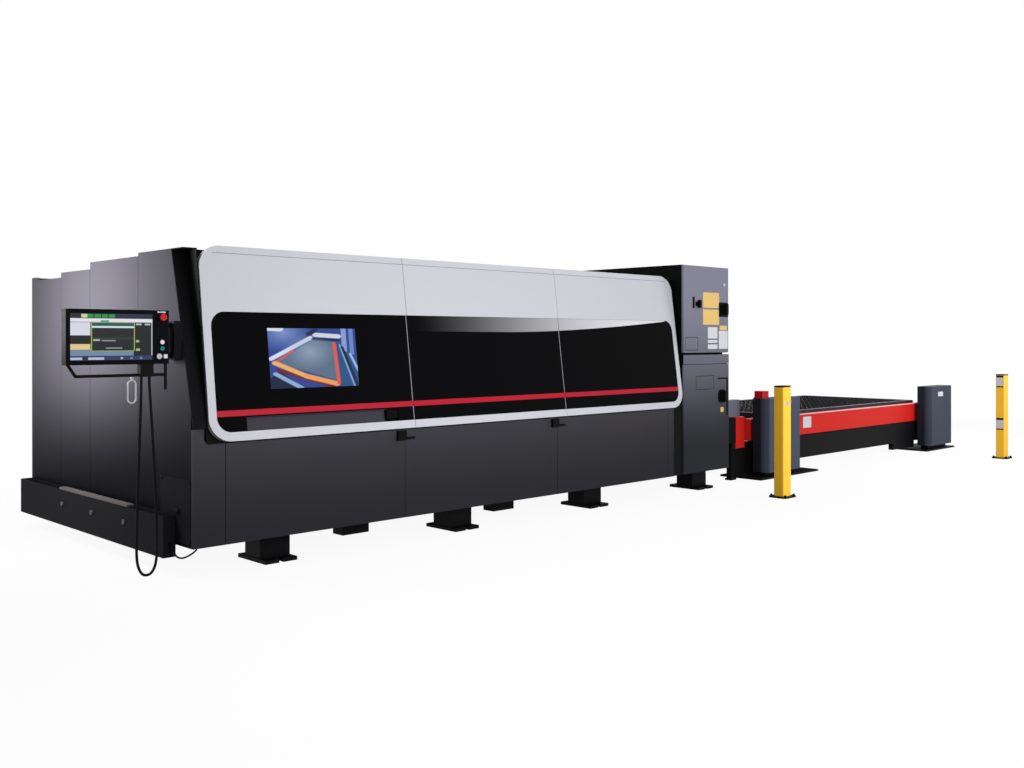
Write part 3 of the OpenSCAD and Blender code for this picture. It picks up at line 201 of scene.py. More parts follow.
def powder_coat_group():
    """Fine grain: noise lightens and darkens the colour a little, moves the roughness and gives a height."""
    group, given, out = new_group(
        "powder_coat",
        [("NodeSocketColor", "Colour", MID_GREY), ("NodeSocketFloat", "Grain", 0.06),
         ("NodeSocketFloat", "Size", 60.0), ("NodeSocketFloat", "Roughness", 0.5)],
        [("NodeSocketColor", "Colour"), ("NodeSocketFloat", "Roughness"), ("NodeSocketFloat", "Height")],
    )
    place = add_node(group, "ShaderNodeTexCoord", {})
    noise = add_node(group, "ShaderNodeTexNoise", {
        "Vector": place.outputs["Object"], "Scale": given["Size"], "Detail": NOISE_DETAIL})
    height = noise.outputs["Fac"]
    centred = add_node(group, "ShaderNodeMath", {0: height, 1: NOISE_MIDDLE}, operation="SUBTRACT")
    amount = add_node(group, "ShaderNodeMath", {0: centred.outputs[0], 1: given["Grain"]},
                      operation="MULTIPLY")
    gain = add_node(group, "ShaderNodeMath", {0: amount.outputs[0], 1: 1.0}, operation="ADD")
    tint = add_node(group, "ShaderNodeVectorMath", {0: given["Colour"], "Scale": gain.outputs[0]},
                    operation="SCALE")
    rough = add_node(group, "ShaderNodeMath", {0: given["Roughness"], 1: amount.outputs[0]}, operation="ADD")
    wire(group, out, {"Colour": tint.outputs[0], "Roughness": rough.outputs[0], "Height": height})
    return group


# Some coats use this fade as painted light and painted shade, and one uses it for a printed sweep.
def span_fade_group():
    """Colour that runs from one value to another along a direction of the machine, between two places."""
    group, given, out = new_group(
        "span_fade",
        [("NodeSocketColor", "Start colour", MID_GREY), ("NodeSocketColor", "End colour", MID_GREY),
         ("NodeSocketVector", "Way", (0.0, 0.0, 1.0)), ("NodeSocketFloat", "Start", 0.0),
         ("NodeSocketFloat", "End", 1.0)],
        [("NodeSocketColor", "Colour")],
    )
    place = add_node(group, "ShaderNodeTexCoord", {})
    along = add_node(group, "ShaderNodeVectorMath", {0: place.outputs["Object"], 1: given["Way"]},
                     operation="DOT_PRODUCT")
    share = add_node(group, "ShaderNodeMapRange", {
        "Value": along.outputs["Value"], "From Min": given["Start"], "From Max": given["End"]},
        interpolation_type="SMOOTHSTEP")
    blend = add_node(group, "ShaderNodeMix", {
        "Factor": share.outputs["Result"], "A": given["Start colour"], "B": given["End colour"]},
        data_type="RGBA")
    wire(group, out, {"Colour": blend.outputs["Result"]})
    return group


powder_coat = powder_coat_group()
span_fade = span_fade_group()
print("shader groups", powder_coat.name, span_fade.name)

# %% Paint maker
PEEL_DEPTH = 0.0008


def paint(name, colour, roughness=0.45, specular=0.1, metallic=0.0, grain=0.08, size=70.0, peel=0.1,
          fade=None):
    """Satin paint: the powder coat group drives the colour, roughness and fine orange peel of one shader.

    A fade is (end colour, way, start, end): the colour changes along that way between two places in metres.
    """
    material = bpy.data.materials.new(name)
    material.use_nodes = True
    tree = material.node_tree
    base = linear(*colour)
    if fade:
        end_colour, way, start, end = fade
        base = add_node(tree, "ShaderNodeGroup", {
            "Start colour": base, "End colour": linear(*end_colour), "Way": way, "Start": start, "End": end},
            node_tree=span_fade).outputs["Colour"]
    coat = add_node(tree, "ShaderNodeGroup", {
        "Colour": base, "Grain": grain, "Size": size, "Roughness": roughness}, node_tree=powder_coat)
    shader = wire(tree, tree.nodes["Principled BSDF"], {
        "Base Color": coat.outputs["Colour"], "Roughness": coat.outputs["Roughness"], "Metallic": metallic,
        "Specular IOR Level": specular})
    if peel:
        bump = add_node(tree, "ShaderNodeBump", {
            "Strength": peel, "Distance": PEEL_DEPTH, "Height": coat.outputs["Height"]})
        wire(tree, shader, {"Normal": bump.outputs["Normal"]})
    return material


print("paint maker with a peel of", PEEL_DEPTH / MM, "mm")

# %% [markdown]
# ## Finishes of the cabin
# The cabin is charcoal, its front cover a bright silver with gloss black windows and a red stripe. The
# charcoal is painted lighter towards the top, which is painted light. Lamps could do that from one side,
# but the paint itself does it here, as a function of height, so that it holds all round. The left end is
# painted the same way, near black low down: painted light and shade.

# %% Cabin finishes
UP, ALONG, BACK = (0, 0, 1), (1, 0, 0), (0, 1, 0)
UP_AND_BACK = (0, 0.1, 1)
GRIP_BLOCK = (LEFT + 1.431, LEFT + 1.434)

# Painted light: the charcoal turns lighter from 0.2 m to 1.5 m above the floor.
charcoal_painted_light = paint("charcoal_painted_light_coat", (42, 41, 46), roughness=0.5, specular=0.06,
                 fade=((82, 80, 87), UP, 0.2, 1.5))
# Painted light and shade: the left end is near black low down and turns lighter upwards and a little towards
# the back.
end_charcoal_painted_light = paint("end_charcoal_painted_light", (13, 12, 15), roughness=0.55, specular=0.02,
                     fade=((90, 88, 96), UP_AND_BACK, 0.48, 1.5))
trough_grey = paint("trough_grey", (30, 29, 33), roughness=0.55, specular=0.015)
black_coat = paint("black_coat", (15, 15, 17), roughness=0.45, specular=0.04)
silver = paint("silver_coat", (206, 207, 214), roughness=0.4, specular=0.15, grain=0.02)
window_black = paint("window_black", (9, 9, 11), roughness=0.12, specular=0.02, grain=0.02, peel=0)
recess_grey = paint("recess_grey", (66, 64, 73), roughness=0.5, specular=0.04,
                    fade=((10, 10, 11), ALONG, *GRIP_BLOCK))
red_line = paint("red_line", (183, 34, 52), roughness=0.4, grain=0.03)
print("cabin finishes, the last one", red_line.name)

# %% [markdown]
# ## Finishes of the cabinet, the table and the fittings
# Cabinet and pillars are slate, the lift frame is red and the posts are yellow. The slate is painted lighter
# upwards too, which is painted light, and the pillars carry painted shade, darker from their bevels
# backwards.
# Steel pieces have a stronger grain, and some a little Metallic: full metal would turn white in a white room.
# The sweep under the cover's top band starts black and gets bright to the right, so its paint fades along the
# machine.

# %% Cabinet, table and fitting finishes
# Painted shade: between these depths behind the front, the pillars' paint turns darker over bevels, sides and
# back.
PILLAR_SHADE_SPAN = (FRONT + 0.075, FRONT + 0.15)
SWEEP_DARK, SWEEP_BRIGHT = (LEFT + 1.72, LEFT + 4.4)

red_coat = paint("red_coat", (226, 40, 32), roughness=0.42, grain=0.04)
# Painted light: the slate turns lighter from 0.4 m to 1.9 m above the floor.
slate_painted_light = paint("slate_painted_light_coat", (30, 33, 38), roughness=0.5, fade=((138, 137, 154), UP, 0.4, 1.9))
pillar_slate_painted_shade = paint("pillar_slate_painted_shade", (62, 68, 81), roughness=0.48, specular=0.04,
                     fade=((34, 36, 46), BACK, *PILLAR_SHADE_SPAN))
rail_slate = paint("rail_slate", (118, 124, 140), roughness=0.45)
pallet_dark = paint("pallet_dark", (48, 51, 60), roughness=0.5)
yellow = paint("yellow_coat", (238, 184, 54), roughness=0.42, grain=0.04)
shell_black = paint("shell_black", (9, 9, 10), roughness=0.5, specular=0.03)
strip_steel = paint("strip_steel", (108, 101, 98), roughness=0.55, specular=0.03, grain=0.2, size=120.0)
steel = paint("bright_steel", (170, 172, 176), roughness=0.4, metallic=0.6, grain=0.2, size=200.0)
slat_steel = paint("slat_steel", (52, 52, 56), roughness=0.55, metallic=0.3, grain=0.3, size=90.0)
dark_plastic = paint("dark_plastic", (14, 14, 17), roughness=0.45, specular=0.02)
lens_red = paint("lens_red", (190, 26, 32), roughness=0.25, grain=0.05)
white_cap = paint("white_cap", (230, 230, 228), roughness=0.3, grain=0.02)
teal_cap = paint("teal_cap", (30, 130, 128), roughness=0.3, grain=0.02)
cable_skin = paint("cable_skin", (12, 12, 13), roughness=0.55, specular=0.06)
sweep_fade = paint("sweep_fade", (8, 8, 10), roughness=0.3, specular=0.02, grain=0.02,
                   fade=((226, 226, 230), ALONG, SWEEP_DARK, SWEEP_BRIGHT))
print("cabinet, table and fitting finishes, the last one", sweep_fade.name)

# %% [markdown]
# ## Paint on the solid pieces
# Each solid piece has one finish. Setting it piece by piece would take a line for each, so a table lists the
# pieces under their finish, and a loop puts it on.

# %% Coats
COATS = {
    charcoal_painted_light: "bed_frame left_frame right_frame rear_frame roof_panels lower_panels head_carriage"
    " right_panels rear_panels",
    end_charcoal_painted_light: "left_panels",
    trough_grey: "side_trough access_cover",
    black_coat: "machine_feet front_frame cover_catches left_return right_return table_base floor_plates"
    " post_ends hmi_bracket hmi_handle main_switch upper_handle lower_handle",
    shell_black: "cabinet_lower cabinet_upper portal_hood",
    strip_steel: "trough_strip",
    silver: "fixed_covers door_cover",
    sweep_fade: "sweep_trim",
    window_black: "fixed_windows door_window door_screen hmi_screen",
    recess_grey: "door_grip",
    red_line: "fixed_stripes door_stripe",
    red_coat: "bridge_beams lift_frame",
    slate_painted_light: "upper_door lower_door cutting_head",
    pillar_slate_painted_shade: "pillar_covers",
    rail_slate: "pallet_rails",
    pallet_dark: "pallet_frame",
    slat_steel: "pallet_slats",
    yellow: "safety_posts",
    steel: "x_rails gantry_beam hook_ring key_switch",
    dark_plastic: "hmi_housing",
    lens_red: "signal_lamp emergency_stop",
    white_cap: "white_button",
    teal_cap: "teal_button",
    cable_skin: "hmi_cable link_cable",
}
painted = 0
for coat, names in COATS.items():
    for name in names.split():
        mesh = nodes[name].data
        mesh.materials.clear()
        mesh.materials.append(coat)
        painted += 1
print("painted", painted, "of", len(nodes), "solid pieces")

# %% [markdown]
# ## Cables
# A thick cable hangs in a loop from the operator panel, and a thin one links the trough with the cabin
# frame. A curve with a bevel depth could make them. Here a circle is carried along the route and turned so
# that it stays square to the way it runs, because the same route then also gives the cable's length.

# %% Cable sweep
CABLE_D = 0.016
LINK_D = 0.011
CABLE_STEPS = 220
LINK_STEPS = 80
HAIR = 0.000001


def rounded_route(points, count):
    """Smooth route through points: a Catmull-Rom spline, sampled at equal parameter steps.

    Each stretch is a cubic of its share f, from the four points around it. The last step stops a hair
    before the last point, so that it still has a stretch to lie on.
    """
    p = np.vstack([2 * points[0] - points[1], points, 2 * points[-1] - points[-2]])
    s = np.linspace(0, len(points) - 1 - HAIR, count)
    k = s.astype(int)
    f = (s - k)[:, None]
    a, b, c, d = p[k], p[k + 1], p[k + 2], p[k + 3]
    return 0.5 * (2 * b + (c - a) * f + (2 * a - 5 * b + 4 * c - d) * f**2 + (3 * b - a - 3 * c + d) * f**3)


def tube_rings(route, radius, reference, sides=14):
    """Circles square to a route: its point plus radius times (cos turn, sin turn) on two directions across.

    The first direction is way x reference, so the reference never runs along the route.
    """
    way = np.gradient(route, axis=0)
    way /= np.linalg.norm(way, axis=1, keepdims=True)
    across = np.cross(way, reference)
    across /= np.linalg.norm(across, axis=1, keepdims=True)
    upright = np.cross(way, across)
    turn = np.linspace(0, 2 * np.pi, sides, endpoint=False)[None, :, None]
    return route[:, None] + radius * (np.cos(turn) * across[:, None] + np.sin(turn) * upright[:, None])


def route_length(route):
    """Sum of the route's steps, in metres."""
    return float(np.linalg.norm(np.diff(route, axis=0), axis=1).sum())


print("cable sweep for", CABLE_D, "and", LINK_D, "m")

# %% Hanging cable and link cable
cable_points = np.array([at(*p) for p in [
    (-262, 125, 1224), (-262, 125, 1180), (-264, 124, 1100), (-269, 122, 980), (-275, 118, 860),
    (-281, 114, 740), (-287, 111, 620), (-292, 108, 500), (-296, 106, 380), (-299, 105, 270),
    (-299, 105, 190), (-293, 105, 130), (-278, 105, 88), (-259, 105, 66), (-237, 105, 60),
    (-215, 105, 66), (-196, 105, 88), (-182, 105, 128), (-176, 105, 190), (-176, 105, 270),
    (-178, 105, 380), (-182, 106, 500), (-187, 108, 620), (-192, 111, 740), (-197, 114, 860),
    (-203, 118, 980), (-209, 122, 1100), (-213, 125, 1180), (-213, 125, 1224)]])
link_points = np.array([at(*p) for p in [
    (-40, 221.5, 200), (-40, 205, 200), (-38, 185, 172), (-34, 160, 142), (-28, 130, 128), (-20, 100, 128),
    (-8, 75, 136), (10, 55, 150), (30, 47, 164), (45, 45, 177), (45, 45, 189.5)]])
cable_route = rounded_route(cable_points, CABLE_STEPS)
link_route = rounded_route(link_points, LINK_STEPS)
cable = smooth(from_rings("hanging_cable", [tube_rings(cable_route, CABLE_D / 2, (0, 1, 0))], cable_skin,
                          "panel"))
link = smooth(from_rings("link_lead", [tube_rings(link_route, LINK_D / 2, (1, 0, 0))], cable_skin,
                         "machine"))
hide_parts("hmi_cable")
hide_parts("link_cable")
print("cable", round(route_length(cable_route), 3), "m, link", round(route_length(link_route), 3), "m")

# %% [markdown]
# ## Plates and studs
# Plain plates, strips and covers are thin slabs with rounded corners and a small bevel. A screw head or a
# lamp is a short turned stud. A cube with a Bevel modifier would do for one of them. As rings, many of them
# fit in one mesh, and the bevel keeps its size on each.

# %% Slab and stud rings
BEVEL_SHARE = 0.6
LEAST_RADIUS = 0.1
STUD_SHOULDER, STUD_TOP = 0.7, 0.75
STEEP = 0.9
TO_FRONT = ((1, 0, 0), (0, 0, 1))
TO_LEFT = ((0, -1, 0), (0, 0, 1))
TO_REAR = ((-1, 0, 0), (0, 0, 1))


def rounded_corners(w, h, r, steps=4):
    """Outline of a rounded rectangle round the middle, as (points, 2): four quarter circles in turn."""
    quarter = np.linspace(0, np.pi / 2, steps)
    turns = np.concatenate([quarter + k * np.pi / 2 for k in range(4)])
    sign_x = np.repeat([1, -1, -1, 1], steps)
    sign_y = np.repeat([1, 1, -1, -1], steps)
    x = sign_x * (w / 2 - r) + r * np.cos(turns)
    y = sign_y * (h / 2 - r) + r * np.sin(turns)
    return np.stack([x, y], axis=1)


def slab(middle, right, up, w, h, thick, r=4, bevel=0.6):
    """Rings of a plate whose back lies on a plane: full outline, then a bevel to the front. Sizes in mm."""
    right, up = np.array(right, float), np.array(up, float)
    out = np.cross(right, up)
    bevel = min(bevel, thick * BEVEL_SHARE)
    wide = rounded_corners(w, h, r) * MM
    narrow = rounded_corners(w - 2 * bevel, h - 2 * bevel, max(r - bevel, LEAST_RADIUS)) * MM
    levels = [(wide, 0.0), (wide, (thick - bevel) * MM), (narrow, thick * MM)]
    return np.stack([middle + o[:, :1] * right + o[:, 1:] * up + z * out for o, z in levels])


def stud(foot, out, radius, height, sides=16):
    """Rings of a round head that stands on a surface: a cylinder with a bevelled top. Sizes in mm."""
    out = np.array(out, float)
    side = np.cross(out, (0, 0, 1) if abs(out[2]) < STEEP else (1, 0, 0))
    side /= np.linalg.norm(side)
    other = np.cross(out, side)
    turn = np.linspace(0, 2 * np.pi, sides, endpoint=False)[:, None]
    circle = np.cos(turn) * side + np.sin(turn) * other
    levels = [(radius, 0.0), (radius, STUD_SHOULDER * height), (STUD_TOP * radius, height)]
    return np.stack([foot + r * MM * circle + z * MM * out for r, z in levels])


def wall_slab(edges, y, thick, r=4, way=TO_FRONT):
    """Slab on an upright plane that faces the front or the rear; edges are (left, right, low, high)."""
    x0, x1, z0, z1 = edges
    return slab(at((x0 + x1) / 2, y, (z0 + z1) / 2), *way, x1 - x0, z1 - z0, thick, r)


def end_slab(edges, x, thick, r=4):
    """Slab on an upright plane that faces the left end's side; edges are (front, back, low, high)."""
    y0, y1, z0, z1 = edges
    return slab(at(x, (y0 + y1) / 2, (z0 + z1) / 2), *TO_LEFT, y1 - y0, z1 - z0, thick, r)


print("slab of", slab(at(0, 0, 0), *TO_FRONT, 100, 50, 2).shape, "points")

# %% [markdown]
# ## Cabinet fittings
# The cabinet's doors carry plain plates, a lamp, handle bases and thin outlines of small covers. They could
# be drawn into the paint of the doors. Real plates stand a little proud and catch light along their edges,
# so they are slabs, and each rides on its own door. A plate is written as its left, right, low and high edge.

# %% Cabinet plates
PLATE_T = 0.4
FASCIA = (4873, 5609, 1210.5, 1297.5)
UPPER_YELLOW = [(5182, 5445, 1743, 1889), (5182, 5445, 1583, 1728), (5455, 5578, 1533, 1576)]
UPPER_WHITE = [(5260, 5418, 1452, 1560), (5260, 5418, 1410, 1438), (5260, 5418, 1352, 1395),
               (5440, 5590, 1352, 1526)]
LAMP_X, LAMP_Z, LAMP_R, LAMP_H = 5529, 1970, 13, 5

plate_yellow = paint("plate_yellow", (246, 208, 130), roughness=0.5, grain=0.04)
plate_white = paint("plate_white", (226, 229, 236), roughness=0.5, grain=0.03)
dark_line = paint("dark_line", (26, 27, 30), roughness=0.6)


def door_plate(edges, thick=PLATE_T, r=4):
    """Slab on the cabinet's front."""
    return wall_slab(edges, 0, thick, r)


from_rings("cabinet_fascia", [door_plate(FASCIA, r=2)], slate_painted_light, "machine")
from_rings("upper_yellow_plates", [door_plate(p) for p in UPPER_YELLOW], plate_yellow, "upper_door")
from_rings("upper_white_plates", [door_plate(p) for p in UPPER_WHITE], plate_white, "upper_door")
from_rings("upper_lamp", [stud(at(LAMP_X, 0, LAMP_Z), (0, -1, 0), LAMP_R, LAMP_H)], white_cap, "upper_door")
print("cabinet plates:", len(UPPER_YELLOW), "yellow and", len(UPPER_WHITE), "white ones on the upper door")

# %% Handle bases and cover outlines
LINE_W = 5
LATCH_BASE, LATCH_PLATE = (5016, 5042, 1735, 1842), (5060, 5150, 1755, 1797)
SWITCH_PLATE, TURN_PLATE = (5440, 5600, 1660, 1800), (5428, 5560, 830, 960)
SLOT_SIDE, SLOT_TOP = (5570, 5592, 705, 1072), (5420, 5570, 1060, 1074)
LOWER_COVER, UPPER_COVER = (5069, 5361, 968, 1099), (4905, 5100, 1340, 1465)
SMALL_PLATE = (5470, 5520, 742, 790)


def frame_lines(x0, x1, z0, z1):
    """Four thin slabs along the edges of a rectangle."""
    lines = [(x0, x1, z0, z0 + LINE_W), (x0, x1, z1 - LINE_W, z1),
             (x0, x0 + LINE_W, z0, z1), (x1 - LINE_W, x1, z0, z1)]
    return [door_plate(line, r=1) for line in lines]


from_rings("upper_handle_parts", [
    door_plate(LATCH_BASE, thick=5, r=3), door_plate(LATCH_PLATE, r=3), door_plate(SWITCH_PLATE, r=10)],
    black_coat, "upper_door")
from_rings("lower_handle_parts", [
    door_plate(SLOT_SIDE, thick=3, r=3), door_plate(SLOT_TOP, thick=2, r=3), door_plate(TURN_PLATE, r=40)],
    black_coat, "lower_door")
from_rings("lower_cover_outline", frame_lines(*LOWER_COVER), dark_line, "lower_door")
from_rings("upper_cover_outline", frame_lines(*UPPER_COVER), dark_line, "upper_door")
from_rings("lower_small_plate", [door_plate(SMALL_PLATE, r=6)], plate_yellow, "lower_door")
print("handle bases and outlines on two doors")

# %% [markdown]
# ## Shuttle table
# The red lift beam has a pale strip along its upper edge, a painted highlight where the edge catches the
# light, and a plain plate, and the right pillar has a plate. The highlight could be a band in the red paint.
# As a slab it keeps a sharp edge, and it rises with the beam.

# %% Table plates
BEAM_Y, PILLAR_Y = 270, 60
BEAM_HIGHLIGHT, BEAM_PLATE = (6400, 10880, 600, 610), (7474, 7650, 450, 574)
PILLAR_PLATE = (10525, 10675, 695, 755)

# Painted highlight: the pale strip on the beam's upper edge. The same pale paint also colours the post's
# mark.
pale_mark_and_highlight = paint("pale_mark_and_highlight", (214, 208, 214), roughness=0.4, grain=0.03)
from_rings("beam_highlight_strip", [wall_slab(BEAM_HIGHLIGHT, BEAM_Y, thick=1.5, r=1)], pale_mark_and_highlight, "lift")
from_rings("beam_plate", [wall_slab(BEAM_PLATE, BEAM_Y, thick=1.5)], plate_white, "lift")
from_rings("pillar_plate", [wall_slab(PILLAR_PLATE, PILLAR_Y, thick=1.0)], plate_white, "machine")
print("table strip of", (BEAM_HIGHLIGHT[1] - BEAM_HIGHLIGHT[0]) * MM, "m")

# %% [markdown]
# ## Safety posts
# Light beams run between the posts, so the far post has pale windows on its left side, with dark bars at
# their ends. Four hexagon bolts hold each post's plate to the floor. The windows could be cut into the post.
# They lie almost level with it, so thin slabs show the same. A plate that faces the left is written as its
# front, back, low and high edge.

# %% Post windows and bolts
POSTS = [(5444, -690), (10100, -905)]
POST_MARK, POST_MARK_Y = (5414, 5474, 838, 884), -740
POST_SIDE, WINDOW_Y = 10032, (-946, -862)
WINDOW_Z = [(368, 464), (882, 978)]
WINDOW_BAR_Z = [(348, 362), (467, 492), (862, 876), (981, 1003)]
ANCHOR_OFFSET, POST_PLATE_TOP = 72, 14
ANCHOR_R, ANCHOR_H, HEXAGON = 13, 16, 6

from_rings("post_mark", [wall_slab(POST_MARK, POST_MARK_Y, thick=0.6, r=20)], pale_mark_and_highlight, "machine")
from_rings("post_windows", [end_slab((*WINDOW_Y, *z), POST_SIDE, thick=1.0, r=3) for z in WINDOW_Z],
           plate_white, "machine")
from_rings("post_window_bars", [end_slab((*WINDOW_Y, *z), POST_SIDE, thick=1.2, r=2) for z in WINDOW_BAR_Z],
           dark_line, "machine")
anchor_feet = [at(x + i * ANCHOR_OFFSET, y + j * ANCHOR_OFFSET, POST_PLATE_TOP)
               for x, y in POSTS for i in (-1, 1) for j in (-1, 1)]
from_rings("anchor_bolts", [stud(foot, (0, 0, 1), ANCHOR_R, ANCHOR_H, HEXAGON) for foot in anchor_feet],
           black_coat, "machine")
print("anchor bolts", len(anchor_feet), "and post windows", len(WINDOW_Z))

# %% [markdown]
# ## Left end and operator panel
# Screws hold the low cover of the left end, and a dark grip plate sits in its middle. The operator panel has
# a small square key and a thin strip over its emergency stop. They could be turned and milled as solids. They
# are small and seen from a distance, so studs and slabs are enough.

# %% Left end and panel fittings
SCREW_X, SCREW_R, SCREW_H = -3, 9, 4
SCREW_YZ = [(44, 224), (44, 583), (406, 583)]
COVER_GRIP, COVER_GRIP_X = (168, 236, 391, 417), -12
PANEL_Y = 105
SQUARE_KEY, STOP_STRIP = (-134, -110, 1331, 1355), (-172, -120, 1601, 1608)

from_rings("cover_screws", [stud(at(SCREW_X, y, z), (-1, 0, 0), SCREW_R, SCREW_H) for y, z in SCREW_YZ],
           black_coat, "machine")
from_rings("cover_grip", [end_slab(COVER_GRIP, COVER_GRIP_X, thick=3, r=3)], black_coat, "machine")
from_rings("panel_square_key", [wall_slab(SQUARE_KEY, PANEL_Y, thick=3, r=3)], white_cap, "panel")
from_rings("stop_label", [wall_slab(STOP_STRIP, PANEL_Y, thick=0.5, r=2)], plate_white, "panel")
print("cover screws", len(SCREW_YZ))

# %% [markdown]
# ## Rear side
# The rear wall is four service panels that are taken off for maintenance. Each hangs on four quarter-turn
# locks and has a pull plate, and two have louvres that let warm air out. Louvres could be cut through the
# sheet. From outside only their pressed hoods are seen, so a row of slabs is enough.

# %% Rear fittings
REAR_Y = 2620
PANELS, PANEL_W, PANEL_Z0, PANEL_Z1 = 4, 1181.25, 190, 1919
LOCK_IN, LOCK_R, LOCK_H = 62, 13, 4
LOUVRES, LOUVRE_W, LOUVRE_H, LOUVRE_PITCH, LOUVRE_Z0 = 10, 560, 15, 34, 1380
PULL_W, PULL_Z0, PULL_Z1 = 140, 1040, 1076
FITTING_T = 5


def rear_plates(middles, width, heights, r):
    """Slabs of one width on the rear wall, at each middle and between each pair of heights."""
    return [wall_slab((x - width / 2, x + width / 2, z0, z1), REAR_Y, FITTING_T, r, TO_REAR)
            for x in middles for z0, z1 in heights]


lock_x = [k * PANEL_W + side for k in range(PANELS) for side in (LOCK_IN, PANEL_W - LOCK_IN)]
lock_z = (PANEL_Z0 + LOCK_IN, PANEL_Z1 - LOCK_IN)
from_rings("rear_locks", [stud(at(x, REAR_Y, z), (0, 1, 0), LOCK_R, LOCK_H) for x in lock_x for z in lock_z],
           steel, "machine")
panel_mid = [(k + 0.5) * PANEL_W for k in range(PANELS)]
louvre_z = [(z, z + LOUVRE_H) for z in LOUVRE_Z0 + LOUVRE_PITCH * np.arange(LOUVRES)]
from_rings("rear_louvres", rear_plates(panel_mid[::2], LOUVRE_W, louvre_z, r=5), black_coat, "machine")
from_rings("rear_pulls", rear_plates(panel_mid, PULL_W, [(PULL_Z0, PULL_Z1)], r=8), black_coat, "machine")
print("rear fittings on", PANELS, "panels")

# %% [markdown]
# ## Screens
# The door's screen shows a plain picture of a tray with lit edges, the operator's screen plain fields of
# colour. A picture file could be laid on them, but then the scene would need a second file. Here a fine grid
# of points carries a colour worked out from its place across and up the screen, and the material reads that
# colour as light.

# %% Screen maker
SCREEN_BLACK = (0.01, 0.01, 0.01, 1)
GLOW = 0.85

glow_paint = bpy.data.materials.new("screen_glow")
glow_paint.use_nodes = True
glow_tree = glow_paint.node_tree
tint = add_node(glow_tree, "ShaderNodeAttribute", {}, attribute_name="tint")
wire(glow_tree, glow_tree.nodes["Principled BSDF"], {
    "Base Color": SCREEN_BLACK, "Roughness": 0.2, "Specular IOR Level": 0.1,
    "Emission Color": tint.outputs["Color"], "Emission Strength": GLOW})


def screen_grid(name, corner, right, up, picture, body, columns, rows):
    """Flat grid, corner + u right + v up, with a colour per point from picture(u, v)."""
    u, v = np.meshgrid(np.linspace(0, 1, columns), np.linspace(0, 1, rows))
    points = corner + u[..., None] * right + v[..., None] * up
    index = np.arange(columns * rows).reshape(rows, columns)
    quads = np.stack([index[:-1, :-1], index[:-1, 1:], index[1:, 1:], index[1:, :-1]], axis=-1).reshape(-1, 4)
    mesh = bpy.data.meshes.new(name)
    mesh.from_pydata(points.reshape(-1, 3).tolist(), [], quads.tolist())
    colour = to_linear(picture(u.ravel(), v.ravel()))
    opaque = np.column_stack([colour, np.ones(len(colour))])
    layer = mesh.attributes.new("tint", "FLOAT_COLOR", "POINT")
    layer.data.foreach_set("color", opaque.ravel().astype(np.float32))
    piece = bpy.data.objects.new(name, mesh)
    bpy.context.collection.objects.link(piece)
    piece.data.materials.append(glow_paint)
    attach(piece, body)
    return piece


print("screen maker with a glow of", GLOW)

# %% [markdown]
# Each picture starts from one ground colour. Soft masks of bars, rectangles and convex outlines then lay
# other colours over it, one after the other. Places run from 0 to 1 across and up the screen.

# %% Screen pictures
def lay(colour, mask, new):
    """Puts a colour where the mask is 1, softly where it is between."""
    return colour + mask[:, None] * (np.array(new, float) - colour)


def bar(u, v, p, q, width, soft=0.012):
    """Mask of a straight bar from p to q: 1 inside half its width, fading over a soft edge."""
    p, q = np.array(p, float), np.array(q, float)
    along = q - p
    t = np.clip(((u - p[0]) * along[0] + (v - p[1]) * along[1]) / (along @ along), 0, 1)
    distance = np.hypot(u - p[0] - t * along[0], v - p[1] - t * along[1])
    return np.clip((width / 2 - distance) / soft + 0.5, 0, 1)


def field(u, v, u0, v0, u1, v1):
    """Mask of an upright rectangle."""
    return ((u >= u0) & (u <= u1) & (v >= v0) & (v <= v1)).astype(float)


def convex(u, v, corners, soft=0.01):
    """Mask of a convex outline given anticlockwise: inside all its edges."""
    mask = np.ones_like(u)
    for (a, b), (c, d) in zip(corners, corners[1:] + corners[:1]):
        length = math.hypot(c - a, d - b)
        inward = ((c - a) * (v - b) - (d - b) * (u - a)) / length
        mask = np.minimum(mask, np.clip(inward / soft + 0.5, 0, 1))
    return mask


